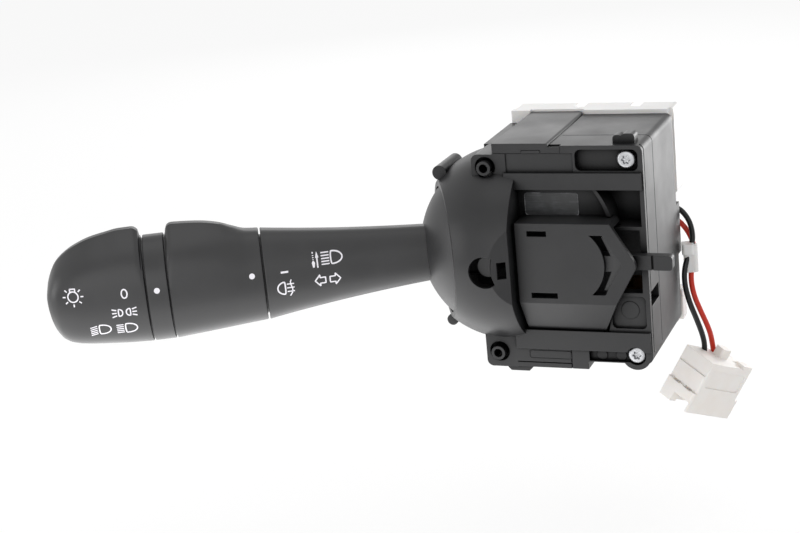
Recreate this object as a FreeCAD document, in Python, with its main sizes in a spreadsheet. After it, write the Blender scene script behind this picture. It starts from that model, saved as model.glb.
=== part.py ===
import FreeCAD, Part
import os
import Sketcher
from math import acos, atan2, cos, degrees, pi, radians, sin, sqrt, tan
from FreeCAD import Placement, Rotation, Vector

# Combination stalk switch of a steering column.
# The origin is midway between the two fixing bosses, on the front face of the flange.
# X runs to the right along the face, Y runs forward into the car and Z runs up.
# The pieces of the stalk have a frame of their own: its origin is the pivot, x runs out
# along the stalk, y runs towards the driver and z runs up.

# Driving sizes in millimetres and degrees, each with what it measures.
SIZES = (
    # Fixing bosses and the ears round them
    ("mount_pitch", 58.7, "distance between the two fixing bosses"),
    ("boss_radius", 2.2, "outside of a fixing boss"),
    ("boss_bore", 1.35, "hole in a fixing boss"),
    ("boss_stand", 1.8, "height of a boss in front of the flange"),
    ("well_radius", 3.15, "sunk ring round a boss"),
    ("well_depth", 2.2, "depth of that ring"),
    ("ear_left", 4.3, "flange left of the bosses"),
    ("ear_right", 5.6, "lower ear right of its boss"),
    ("ear_reach", 3.9, "flange above the upper boss"),
    ("ear_drop", 4.95, "flange below the lower boss"),
    # Box
    ("box_right", 48.1, "right side of the box"),
    ("box_top", 35.85, "top of the box"),
    ("box_bottom", 31.6, "bottom of the box, below the middle"),
    ("box_depth", 40.5, "depth of both housings together"),
    ("seam_depth", 13.0, "where the two housings meet"),
    ("wall", 2.0, "walls of the housings"),
    ("floor_wall", 1.5, "thickness behind the trough"),
    ("corner_round", 2.0, "corners of the flange"),
    # Pivot and dome
    ("pivot_right", 1.9, "pivot of the stalk, right of the bosses"),
    ("pivot_depth", 16.0, "pivot behind the flange"),
    ("pivot_rise", 1.4, "pivot above the middle"),
    ("stalk_sweep", 27.0, "stalk turned towards the driver"),
    ("dome_radius", 30.5, "outside of the dome"),
    ("dome_wall", 1.2, "thickness of the dome"),
    ("dome_lip", 9.0, "right end of the dome"),
    ("opening_reach", 21.7, "opening of the dome, from the pivot"),
    ("facet_turn", 28.7, "flat on the right of the dome, turned from the front"),
    ("facet_reach", 27.35, "that flat, from the pivot"),
    ("facet_wall", 1.4, "thickness of the flat"),
    ("journal_window", 4.9, "round window over the journal"),
    ("slot_left", 5.6, "small window in the flat, left edge"),
    ("slot_width", 2.5, "width of that window"),
    ("slot_height", 5.2, "height of that window"),
    ("peg_radius", 2.3, "peg on the upper left of the dome"),
    ("peg_left", 18.0, "that peg, left of the bosses"),
    ("peg_rise", 25.3, "that peg, above the middle"),
    ("peg_start", 8.5, "front end of the pegs"),
    ("peg_end", 24.0, "rear end of the pegs"),
    ("low_peg_radius", 1.8, "peg on the lower left of the dome"),
    ("low_peg_left", 17.9, "that peg, left of the bosses"),
    ("low_peg_drop", 22.7, "that peg, below the middle"),
    # Front face
    ("trough_depth", 2.5, "sunk area round the cancel cover"),
    ("trough_top", 22.6, "upper edge of the trough"),
    ("trough_bottom", 21.6, "lower edge of the trough, below the middle"),
    ("shelf_height", 5.1, "upper shelf"),
    ("bar_height", 6.2, "lower bar"),
    ("shelf_proud", 0.9, "shelf and bar in front of the flange"),
    ("window_left", 37.5, "window behind the finger, left edge"),
    ("window_top", 10.2, "top of that window"),
    ("window_bottom", 9.2, "bottom of that window, below the middle"),
    ("ledge", 1.1, "thickness of the ledges round the window"),
    ("recess_depth", 9.0, "deep recess at the upper right"),
    ("pillar", 1.3, "right wall of the recess"),
    ("panel_depth", 1.0, "sunk panel at the lower right"),
    ("mark_radius", 2.7, "round mark in that panel"),
    ("mark_height", 0.15, "height of that mark"),
    ("strip_sink", 0.35, "inset panel in the top strip"),
    ("pocket_left", 27.9, "dark pocket of the upper screw, left edge"),
    ("pocket_depth", 2.2, "depth of the screw pockets"),
    ("pocket_round", 1.8, "corners of the pockets"),
    ("date_left", 28.5, "lower pocket, left edge"),
    ("date_depth", 1.4, "depth of the lower pocket"),
    ("dial_radius", 1.6, "round date dials in that pocket"),
    ("dial_pitch", 6.0, "distance between the dials"),
    ("skirt_drop", 2.5, "skirt below the box, left of the lower pocket"),
    ("skirt_step", 5.4, "width of the block at the skirt's right end"),
    ("tab_left", 2.0, "latch tab under the skirt, left edge"),
    ("tab_width", 7.8, "width of that tab"),
    ("tab_drop", 1.8, "that tab below the skirt"),
    ("line_width", 0.35, "fine grooves between the panels"),
    ("edge_groove", 1.7, "groove round the right front corner, from the front"),
    ("edge_groove_width", 0.6, "width of that groove"),
    ("side_window_start", 2.0, "window in the right side, front edge"),
    ("side_window_length", 9.6, "length of that window"),
    ("side_window_top", 9.4, "top of that window, below the middle"),
    ("side_window_height", 4.6, "height of that window"),
    ("hook_left", 38.8, "hooks on the top, left edge"),
    ("hook_start", 3.0, "front of the hooks"),
    ("hook_length", 4.2, "length of the hooks"),
    ("hook_height", 2.8, "height of the right hook"),
    ("hook_round", 1.1, "rounding of the hooks"),
    # Assembly screws
    ("screw_right", 43.1, "assembly screws, right of the bosses"),
    ("screw_pitch", 60.6, "distance between the screws"),
    ("screw_middle", 1.15, "middle of the screws above the origin"),
    ("screw_shank", 1.45, "radius of the shank"),
    ("screw_head", 2.75, "radius of the head"),
    ("screw_head_height", 1.9, "height of the head"),
    ("screw_length", 16.0, "length under the head"),
    ("screw_foot", 4.5, "rounded foot under the lower screw"),
    ("post_radius", 2.9, "posts that take the screws"),
    ("hole_clearance", 0.15, "screw hole round the shank"),
    # Top cover
    ("cover_left", 2.5, "left edge of the top cover"),
    ("cover_width", 17.4, "width of the top cover"),
    ("cover_height", 0.65, "top cover above the box"),
    ("cover_thickness", 2.0, "thickness of the top cover"),
    ("cover_overhang", 1.5, "top cover behind the box"),
    ("cover_round", 2.6, "rear right corner of the top cover"),
    ("cover_bevel", 0.9, "rounding of its right edge"),
    ("lug_depth", 0.9, "lugs under its front edge"),
    ("lug_thickness", 1.5, "thickness of the lugs"),
    ("seat_gap", 0.1, "gap between pieces that seat in each other"),
    # Cancel cover, slider and finger
    ("cover_gap", 1.0, "gap between the dome and the cancel cover"),
    ("cancel_proud", 7.0, "cancel cover in front of the flange"),
    ("cancel_wall", 1.6, "thickness of the cancel cover"),
    ("cancel_top", 14.0, "upper edge of the cancel cover"),
    ("cancel_bottom", 10.8, "lower edge of its flat, below the middle"),
    ("cancel_shoulder", 38.9, "upper right corner of its flat"),
    ("cancel_heel", 39.7, "lower right corner of its flat"),
    ("cancel_tip", 46.1, "point of the arrow"),
    ("tip_round", 3.0, "rounding of that point"),
    ("cancel_foot", 34.2, "right end of its sloping foot"),
    ("chevron_left", 32.6, "V-shaped window, left end"),
    ("chevron_width", 3.9, "width of that window"),
    ("chevron_reach", 5.2, "how far its point lies to the right"),
    ("chevron_half", 9.2, "half height of that window"),
    ("finger_pivot", 27.0, "pivot of the finger, right of the bosses"),
    ("finger_end", 56.2, "right end of the finger"),
    ("finger_height", 4.4, "height of the finger"),
    ("finger_nib", 6.2, "pad at the finger's end, up to its groove"),
    ("finger_groove", 0.6, "width and depth of that groove"),
    ("finger_thickness", 3.0, "thickness of the finger"),
    ("finger_hub", 3.3, "radius of its hub"),
    ("finger_pin", 1.5, "radius of its pin"),
    ("slider_thickness", 1.2, "thickness of the slider"),
    ("slider_stem", 2.4, "half height of its stem"),
    ("run_gap", 0.3, "gap between pieces that move past each other"),
    ("spring_wire", 0.3, "radius of the spring wire"),
    # Rocker and stalk hub
    ("hub_half_depth", 6.4, "stalk hub, half depth"),
    ("hub_half_height", 7.4, "stalk hub, half height"),
    ("hub_rear", 7.5, "stalk hub behind the pivot"),
    ("hub_front", 20.0, "stalk hub in front of the pivot"),
    ("hub_bore", 5.4, "chamber in the hub"),
    ("yoke_gap", 0.4, "gap between hub and yoke"),
    ("yoke_wall", 2.8, "cheeks of the yoke"),
    ("yoke_left", 7.0, "left end of the cheeks, left of the bosses"),
    ("yoke_right", 16.0, "right end of the yoke"),
    ("yoke_front", 4.4, "front of the yoke"),
    ("yoke_rear", 29.6, "rear of the yoke"),
    ("yoke_bridge", 2.2, "front and rear bridges"),
    ("journal_radius", 3.2, "front journal"),
    ("rear_journal", 3.0, "rear journal"),
    ("fit_gap", 0.05, "running fit, in the radius"),
    ("cross_pin", 1.8, "radius of the cross pins"),
    ("plunger_radius", 2.0, "detent plunger"),
    ("plunger_reach", 33.0, "tip of the plunger, from the bosses"),
    ("arm_end", 30.0, "right end of the rocker arm"),
    ("arm_half", 3.4, "half height of the rocker arm"),
    ("detent_depth", 0.7, "depth of the detent notches"),
    ("turn_angle", 8.0, "turn signal, each way"),
    # Contact plate and terminal block
    ("plate_front", 30.5, "front of the contact plate"),
    ("plate_thickness", 2.5, "thickness of the contact plate"),
    ("plate_right", 39.8, "right edge of the contact plate"),
    ("track_thickness", 0.3, "brass tracks"),
    ("block_base", 2.5, "base of the terminal block"),
    ("block_length", 10.0, "terminal block behind the box"),
    ("block_left", 3.8, "left side of the block, left of the bosses"),
    ("block_top", 37.2, "top of the block"),
    ("block_bottom", 32.5, "bottom of the block, below the middle"),
    ("upper_socket_bottom", 9.5, "lower side of the upper socket"),
    ("lower_socket_top", 6.0, "upper side of the lower socket, below the middle"),
    ("lower_socket_right", 40.0, "right side of the lower socket"),
    ("socket_wall", 2.0, "walls of the sockets"),
    ("blade_width", 1.5, "width of a terminal blade"),
    ("blade_thickness", 0.6, "thickness of a blade"),
    ("blade_pitch", 5.4, "distance between blades"),
    # Stalk
    ("shield_gap", 0.4, "gap between dome and ball shield"),
    ("shield_wall", 1.4, "thickness of the ball shield"),
    ("shield_angle", 56.0, "half angle of the ball shield"),
    ("shield_trim", 21.1, "front of the ball shield, from the stalk"),
    ("neck_radius", 6.4, "neck of the stalk shell"),
    ("shaft_radius", 2.2, "knob shaft"),
    ("core_radius", 3.4, "outside of the core tube"),
    ("drive_radius", 4.6, "outside of the fog drive tube"),
    ("shell_end", 78.2, "end of the stalk shell"),
    ("fog_start", 78.5, "inner end of the fog ring"),
    ("fog_end", 107.0, "outer end of the fog ring"),
    ("index_start", 107.3, "inner end of the index ring"),
    ("index_end", 114.6, "outer end of the index ring"),
    ("knob_start", 114.9, "inner end of the knob"),
    ("knob_end", 145.2, "outer end of the knob"),
    ("root_top", 9.0, "stalk above its axis at the root"),
    ("root_bottom", 9.6, "stalk below its axis at the root"),
    ("groove_top", 14.1, "stalk above its axis at the groove"),
    ("groove_bottom", 15.3, "stalk below its axis at the groove"),
    ("fog_top", 19.5, "crest of the fog ring"),
    ("index_top", 16.3, "index ring above the axis"),
    ("index_bottom", 17.6, "index ring below the axis"),
    ("knob_top", 19.2, "crest of the knob"),
    ("stalk_depth", 0.68, "depth of the stalk, as a share of its height"),
    ("crest_width", 2.6, "flat crest of the knob and fog ring"),
    ("skin", 2.0, "walls of the stalk pieces"),
    ("detent_pin", 1.25, "detent pins in the stalk"),
    ("detent_offset", 8.2, "detent pins below the axis"),
    # Lead
    ("wire_radius", 0.875, "insulated wire"),
    ("wire_exit", 42.0, "where the wires leave the terminal block"),
    ("plug_length", 18.0, "lead connector, from wires to mouth"),
    ("plug_half_width", 11.3, "lead connector, half width"),
    ("plug_half_height", 6.25, "lead connector, half height"),
    ("plug_step", 11.3, "where its rim begins, from the wires' side"),
    ("way_left", 2.3, "way of the black wire, left of the middle"),
    ("way_pitch", 5.3, "distance between the two ways"),
    ("way_back", 4.6, "ways behind the middle of the connector"),
)

document = FreeCAD.newDocument("stalk_switch")
sheet = document.addObject("Spreadsheet::Sheet", "Sizes")


class Size:
    """A value together with the spreadsheet expression that gives it."""

    def __init__(self, value, text):
        self.value = float(value)
        self.text = text

    def __add__(self, other):
        other = as_size(other)
        return Size(self.value + other.value, f"({self.text} + {other.text})")

    def __sub__(self, other):
        other = as_size(other)
        return Size(self.value - other.value, f"({self.text} - {other.text})")

    def __mul__(self, other):
        other = as_size(other)
        return Size(self.value * other.value, f"({self.text} * {other.text})")

    def __truediv__(self, other):
        other = as_size(other)
        return Size(self.value / other.value, f"({self.text} / {other.text})")

    def __radd__(self, other):
        return as_size(other) + self

    def __rsub__(self, other):
        return as_size(other) - self

    def __rmul__(self, other):
        return as_size(other) * self

    def __neg__(self):
        return Size(-self.value, f"(0 - {self.text})")


def as_size(value):
    """Return a plain number as a size."""
    if isinstance(value, Size):
        return value
    return Size(value, f"({value:.6g})")


def cosine(angle):
    """Cosine of an angle in degrees."""
    return Size(cos(radians(angle.value)), f"cos({angle.text})")


def sine(angle):
    """Sine of an angle in degrees."""
    return Size(sin(radians(angle.value)), f"sin({angle.text})")


def root(value):
    """Square root."""
    return Size(sqrt(value.value), f"sqrt({value.text})")


class Sizes:
    """Gives each driving size by its name."""


S = Sizes()
for row, (name, value, meaning) in enumerate(SIZES, start=1):
    sheet.set(f"A{row}", meaning)
    sheet.set(f"B{row}", str(value))
    sheet.setAlias(f"B{row}", name)
    setattr(S, name, Size(value, f"Sizes.{name}"))
document.recompute()

# Parts of the document that become files, in order
pieces = []


def keep(feature, label):
    """Name a finished piece, which is written to a file of that name."""
    feature.Label = label
    pieces.append(feature)
    return feature


# Sketches and features

PLANE_SIGN = {"XY_Plane": 1, "XZ_Plane": -1, "YZ_Plane": 1}


def new_body(label):
    """Start a piece in the frame of the housing."""
    return keep(document.addObject("PartDesign::Body", "Body_" + label), label)


def new_stalk_body(label):
    """Start a piece in the frame of the stalk: x out along it, y towards the driver."""
    body = new_body(label)
    set_on_stalk(body)
    return body


def set_on_stalk(feature):
    """Place a piece that was drawn in the frame of the stalk."""
    turn = Rotation(Vector(0, 0, 1), 180 + S.stalk_sweep.value)
    feature.Placement = Placement(pivot_point(), turn)
    feature.setExpression("Placement.Base.x", S.pivot_right.text)
    feature.setExpression("Placement.Base.y", S.pivot_depth.text)
    feature.setExpression("Placement.Base.z", S.pivot_rise.text)
    feature.setExpression("Placement.Rotation.Angle", (180 + S.stalk_sweep).text)


def pivot_point():
    """The pivot of the stalk."""
    return Vector(S.pivot_right.value, S.pivot_depth.value, S.pivot_rise.value)


def circle(across, up, radius):
    """A round outline."""
    return ("circle", as_size(across), as_size(up), as_size(radius))


def outline(*nodes):
    """A closed outline: (x, y), or (x, y, r) where an arc of radius r runs to the next
    point, with its centre on the left if r is positive and on the right if negative."""
    return [tuple(as_size(item) for item in node) for node in nodes]


def rectangle(left, right, low, high, rounding=None):
    """A rectangle, with rounded corners if a radius is given."""
    if rounding is None:
        return outline((left, low), (right, low), (right, high), (left, high))
    r = rounding
    return outline(
        (left + r, low), (right - r, low, r), (right, low + r), (right, high - r, r),
        (right - r, high), (left + r, high, r), (left, high - r), (left, low + r, r))


def arc_between(start, end, radius):
    """Arc of the signed radius from start to end, and whether it runs anticlockwise."""
    middle = (start + end) * 0.5
    along = end - start
    rise = sqrt(max(radius * radius - along.Length ** 2 / 4.0, 0.0))
    left = Vector(-along.y, along.x, 0).normalize()
    centre = middle + left * (rise if radius > 0 else -rise)
    first, last = (start, end) if radius > 0 else (end, start)
    begin = atan2(first.y - centre.y, first.x - centre.x)
    finish = atan2(last.y - centre.y, last.x - centre.x)
    if finish < begin:
        finish += 2 * pi
    round_edge = Part.Circle(centre, Vector(0, 0, 1), abs(radius))
    return Part.ArcOfCircle(round_edge, begin, finish), radius > 0


def fix_point(sketch, geometry, position, across, up):
    """Tie a point of a sketch to the origin with two distances from the spreadsheet."""
    for kind, distance in (("DistanceX", across), ("DistanceY", up)):
        index = sketch.addConstraint(
            Sketcher.Constraint(kind, -1, 1, geometry, position, distance.value))
        sketch.setExpression(f"Constraints[{index}]", distance.text)


def fix_radius(sketch, geometry, radius):
    """Tie the radius of a circle or arc to the spreadsheet."""
    index = sketch.addConstraint(Sketcher.Constraint("Radius", geometry, radius.value))
    sketch.setExpression(f"Constraints[{index}]", radius.text)


def draw_loop(sketch, loop):
    """Draw a closed outline of lines and arcs, all of it driven by the spreadsheet."""
    if loop[0] == "circle":
        _, across, up, radius = loop
        ring = Part.Circle(Vector(across.value, up.value, 0), Vector(0, 0, 1), radius.value)
        index = sketch.addGeometry(ring)
        fix_point(sketch, index, 3, across, up)
        fix_radius(sketch, index, radius)
        return
    corners = [Vector(node[0].value, node[1].value, 0) for node in loop]
    edges = []
    for number, node in enumerate(loop):
        start = corners[number]
        end = corners[(number + 1) % len(loop)]
        if len(node) == 3:
            edge, forward = arc_between(start, end, node[2].value)
        else:
            edge, forward = Part.LineSegment(start, end), True
        index = sketch.addGeometry(edge)
        edges.append((index, (1, 2) if forward else (2, 1)))
        fix_point(sketch, index, edges[-1][1][0], node[0], node[1])
        if len(node) == 3:
            size = node[2] if node[2].value > 0 else -node[2]
            fix_radius(sketch, index, size)
    for number, (index, ends) in enumerate(edges):
        next_index, next_ends = edges[(number + 1) % len(edges)]
        sketch.addConstraint(
            Sketcher.Constraint("Coincident", index, ends[1], next_index, next_ends[0]))


def rounded_point(x, middle, radius, lean, rising):
    """Two nodes that round a right-hand point whose sides lean by an angle in degrees."""
    back = x - radius * (1 - cosine(as_size(lean)))
    half = radius * sine(as_size(lean))
    if rising:
        return (back, middle - half, radius), (back, middle + half)
    return (back, middle + half, -radius), (back, middle - half)


def draw(body, name, plane, base, loops, lean=None):
    """Make a sketch on an origin plane of the body, moved to the base point in it and,
    if an angle is given, turned about its upright axis."""
    sketch = body.newObject("Sketcher::SketchObject", f"{body.Name}_{name}_sketch")
    for item in body.Origin.OriginFeatures:
        if item.Role == plane:
            sketch.AttachmentSupport = (item, "")
    sketch.MapMode = "FlatFace"
    for axis, distance in zip("xyz", base):
        distance = as_size(distance)
        sketch.setExpression(f"AttachmentOffset.Base.{axis}", distance.text)
    if lean is not None:
        sketch.AttachmentOffset = Placement(Vector(), Rotation(Vector(0, 1, 0), lean.value))
        sketch.setExpression("AttachmentOffset.Rotation.Angle", lean.text)
    for loop in loops:
        draw_loop(sketch, loop)
    return sketch


def extrude(kind, body, name, plane, start, end, loops):
    """Pad or pocket from one coordinate to a higher one, square to an origin plane."""
    start = as_size(start)
    end = as_size(end)
    sketch = draw(body, name, plane, (0, 0, start * PLANE_SIGN[plane]), loops)
    feature = body.newObject(kind, f"{body.Name}_{name}")
    feature.Profile = sketch
    feature.setExpression("Length", (end - start).text)
    forward = PLANE_SIGN[plane] > 0
    feature.Reversed = (not forward) if kind.endswith("Pad") else forward
    return feature


def add(body, name, plane, start, end, *loops):
    """Add material between two coordinates."""
    return extrude("PartDesign::Pad", body, name, plane, start, end, loops)


def cut(body, name, plane, start, end, *loops):
    """Remove material between two coordinates."""
    return extrude("PartDesign::Pocket", body, name, plane, start, end, loops)


def turn(kind, body, name, plane, base, loop, axis="H_Axis"):
    """Revolve an outline about an axis of its own sketch, as solid or as groove."""
    sketch = draw(body, name, plane, base, [loop])
    feature = body.newObject(kind, f"{body.Name}_{name}")
    feature.Profile = sketch
    feature.ReferenceAxis = (sketch, [axis])
    feature.Angle = 360
    return feature


# Places that several pieces share

LEFT = -S.ear_left
EAR_TOP = S.mount_pitch / 2 + S.ear_reach
EAR_BOTTOM = -(S.mount_pitch / 2 + S.ear_drop)
BOX_BOTTOM = -S.box_bottom
CAVITY_FRONT = S.trough_depth + S.floor_wall
CAVITY_LEFT = LEFT + S.wall
CAVITY_RIGHT = S.box_right - S.wall
CAVITY_BOTTOM = BOX_BOTTOM + S.wall
COVER_SEAT = S.box_top + S.cover_height - S.cover_thickness - S.seat_gap
CAVITY_TOP = COVER_SEAT - S.wall
COVER_RIGHT = S.cover_left + S.cover_width
SHELF_TOP = S.trough_top + S.shelf_height
BAR_TOP = -S.trough_bottom
BAR_BOTTOM = BAR_TOP - S.bar_height
SCREW_HEIGHTS = (S.screw_middle + S.screw_pitch / 2, S.screw_middle - S.screw_pitch / 2)
MOUNT_HEIGHTS = (S.mount_pitch / 2, -(S.mount_pitch / 2))
COVER_END = S.box_depth + S.cover_overhang
BLOCK_END = S.box_depth + S.block_length
CANCEL_LEFT = S.dome_lip + S.cover_gap
FAR = Size(80.0, "80")
AXIS_X = cosine(180 + S.stalk_sweep)
AXIS_Y = sine(180 + S.stalk_sweep)


def dome_profile(radius, reach):
    """Half of the dome's section: a ball cut off at its right end."""
    return outline((-radius, 0), (reach, 0), (reach, root(radius * radius - reach * reach), radius))


def stalk_opening(reach):
    """Outline, seen from above, of all that lies further out than the dome's opening."""
    centre_x = S.pivot_right + AXIS_X * reach
    centre_y = S.pivot_depth + AXIS_Y * reach
    # The line of the opening runs square to the stalk
    across_x = AXIS_Y * 45
    across_y = AXIS_X * 45
    out_x = AXIS_X * 40
    out_y = AXIS_Y * 40
    return outline(
        (centre_x - across_x, centre_y + across_y),
        (centre_x - across_x + out_x, centre_y + across_y + out_y),
        (centre_x + across_x + out_x, centre_y - across_y + out_y),
        (centre_x + across_x, centre_y - across_y))


def on_facet(body, kind, name, length, *loops):
    """Add or remove material behind or in front of the flat, drawn on the flat itself.
    The sketch has its origin at the foot of the flat's perpendicular from the pivot."""
    across = S.pivot_right + S.facet_reach * sine(S.facet_turn)
    inward = S.facet_reach * cosine(S.facet_turn) - S.pivot_depth
    sketch = draw(body, name, "XZ_Plane", (across, S.pivot_rise, inward), loops, S.facet_turn)
    feature = body.newObject(kind, f"{body.Name}_{name}")
    feature.Profile = sketch
    feature.setExpression("Length", length.text)
    feature.Reversed = True
    return feature


def dome_half(body, front):
    """Dome of one housing: outside, window, flat and inside, trimmed at the seam."""
    pivot_on_face = (S.pivot_right, S.pivot_rise, -S.pivot_depth)
    reach = S.dome_lip - S.pivot_right if front else Size(0.5, "0.5")
    turn("PartDesign::Revolution", body, "dome", "XZ_Plane", pivot_on_face,
         dome_profile(S.dome_radius, reach))
    start, end = (S.peg_start, S.seam_depth) if front else (S.seam_depth, S.peg_end)
    add(body, "pegs", "XZ_Plane", start, end,
        circle(-S.peg_left, S.peg_rise, S.peg_radius),
        circle(-S.low_peg_left, -S.low_peg_drop, S.low_peg_radius))
    if front:
        cut(body, "journal_window", "XZ_Plane", -FAR / 4, -FAR / 10,
            circle(S.pivot_right, S.pivot_rise - 0.75, S.journal_window))
        rim = root(S.dome_radius * S.dome_radius - S.facet_reach * S.facet_reach)
        on_facet(body, "PartDesign::Pocket", "flat", S.dome_radius, circle(0, 0, rim + 0.5))
        cut(body, "beyond_seam", "XZ_Plane", S.seam_depth, FAR,
            rectangle(-FAR, FAR, -FAR, FAR))
    else:
        cut(body, "before_seam", "XZ_Plane", -FAR, S.seam_depth,
            rectangle(-FAR, FAR, -FAR, FAR))
        cut(body, "behind_box", "XZ_Plane", S.box_depth, FAR,
            rectangle(-FAR, FAR, -FAR, FAR))
    inner = S.dome_radius - S.dome_wall
    inside = reach - S.dome_wall if front else reach
    turn("PartDesign::Groove", body, "inside", "XZ_Plane", pivot_on_face,
         dome_profile(inner, inside))
    if front:
        # Plate behind the flat, which closes the dome again
        right = (S.dome_lip - S.pivot_right - S.facet_reach * sine(S.facet_turn))
        right = right / cosine(S.facet_turn)
        half = root((rim - 1) * (rim - 1) - right * right)
        on_facet(body, "PartDesign::Pad", "flat_plate", S.facet_wall,
                 outline((right, -half), (right, half, rim - 1)))


def make_front_housing():
    """Moulded frame that carries the bosses, the half dome and the sunk face."""
    body = new_body("front_housing")
    r = S.corner_round
    add(body, "frame", "XZ_Plane", 0, S.seam_depth, outline(
        (LEFT + r, EAR_BOTTOM), (S.ear_right, EAR_BOTTOM), (S.ear_right, BOX_BOTTOM),
        (S.box_right - r, BOX_BOTTOM, r), (S.box_right, BOX_BOTTOM + r),
        (S.box_right, S.box_top - r, r), (S.box_right - r, S.box_top),
        (COVER_RIGHT + S.seat_gap, S.box_top), (COVER_RIGHT + S.seat_gap, COVER_SEAT),
        (S.cover_left - S.seat_gap, COVER_SEAT), (S.cover_left - S.seat_gap, EAR_TOP),
        (LEFT + r, EAR_TOP, r), (LEFT, EAR_TOP - r), (LEFT, EAR_BOTTOM + r, r)))
    add(body, "foot", "XZ_Plane", 0, S.seam_depth,
        circle(S.screw_right, SCREW_HEIGHTS[1], S.screw_foot))
    # Skirt under the left part of the box, with a chamfered latch tab
    skirt_low = BOX_BOTTOM - S.skirt_drop
    skirt_right = S.date_left - 0.4
    add(body, "skirt", "XZ_Plane", 0, S.seam_depth - 3, rectangle(
        S.ear_right - 0.5, skirt_right, skirt_low, BOX_BOTTOM + 0.5))
    tab_right = S.tab_left + S.tab_width
    tab_low = skirt_low - S.tab_drop
    add(body, "latch_tab", "XZ_Plane", 1, 6, outline(
        (S.tab_left, skirt_low + 0.5), (S.tab_left, tab_low + 1), (S.tab_left + 1, tab_low),
        (tab_right - 1, tab_low), (tab_right, tab_low + 1), (tab_right, skirt_low + 0.5)))
    dome_half(body, front=True)
    cut(body, "cavity", "XZ_Plane", CAVITY_FRONT, S.seam_depth,
        rectangle(CAVITY_LEFT, CAVITY_RIGHT, CAVITY_BOTTOM, CAVITY_TOP, Size(1.0, "1")))
    cut(body, "post_seats", "XZ_Plane", CAVITY_FRONT, S.seam_depth,
        *[circle(S.screw_right, height, S.post_radius + S.seat_gap)
          for height in SCREW_HEIGHTS])
    # Bearing web of the front journal, carried by the right end of the dome
    add(body, "bearing_web", "XZ_Plane", -1.5, 0.5,
        rectangle(S.pivot_right - 5.5, S.dome_lip - 0.5, S.pivot_rise - 6, S.pivot_rise + 6))
    cut(body, "bearing", "XZ_Plane", -1.6, 0.6,
        circle(S.pivot_right, S.pivot_rise, S.journal_radius + S.fit_gap))
    face_details(body)
    boss_details(body)
    open_dome(body)
    hook_middle = S.hook_left + 2.7
    hook_right = S.hook_left + 6.5
    top = S.box_top + S.hook_height
    low = S.box_top - 0.5
    r = S.hook_round
    add(body, "hooks", "XZ_Plane", S.hook_start, S.hook_start + S.hook_length, outline(
        (S.hook_left, low), (hook_right, low), (hook_right, top - r, r), (hook_right - r, top),
        (hook_middle + r, top, r), (hook_middle, top - r), (hook_middle, top - 0.4 - r, r),
        (hook_middle - r, top - 0.4), (S.hook_left + r, top - 0.4, r),
        (S.hook_left, top - 0.4 - r)))
    cut(body, "side_window", "YZ_Plane", CAVITY_RIGHT - 0.5, S.box_right + 1, rectangle(
        S.side_window_start, S.side_window_start + S.side_window_length,
        -S.side_window_top - S.side_window_height, -S.side_window_top))
    fine_grooves(body)


def fine_grooves(body):
    """Fine grooves: round the seam, round the right front corner and on the skirt."""
    deep = S.line_width
    r = S.corner_round
    right = S.box_right - deep
    for name, start, end in (
            ("seam_groove", S.seam_depth - S.line_width, S.seam_depth),
            ("corner_groove", S.edge_groove, S.edge_groove + S.edge_groove_width)):
        top = S.box_top - deep
        left = COVER_RIGHT + 1 if name == "seam_groove" else S.hook_left + 8
        cut(body, name, "XZ_Plane", start, end, outline(
            (left, S.box_top + 1), (left, top), (S.box_right - r, top, deep - r),
            (right, S.box_top - r), (right, BOX_BOTTOM + 3), (S.box_right + 1, BOX_BOTTOM + 3),
            (S.box_right + 1, S.box_top + 1)))
    skirt_low = BOX_BOTTOM - S.skirt_drop
    step = S.date_left - 0.4 - S.skirt_step
    cut(body, "skirt_grooves", "XZ_Plane", -1, S.line_width, outline(
        (S.ear_right, BOX_BOTTOM - 0.7 - deep), (step, BOX_BOTTOM - 0.7 - deep),
        (step, skirt_low - 1), (step + deep, skirt_low - 1), (step + deep, BAR_BOTTOM - 0.3),
        (step, BAR_BOTTOM - 0.3), (step, BOX_BOTTOM - 0.7), (S.ear_right, BOX_BOTTOM - 0.7)))


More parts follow.
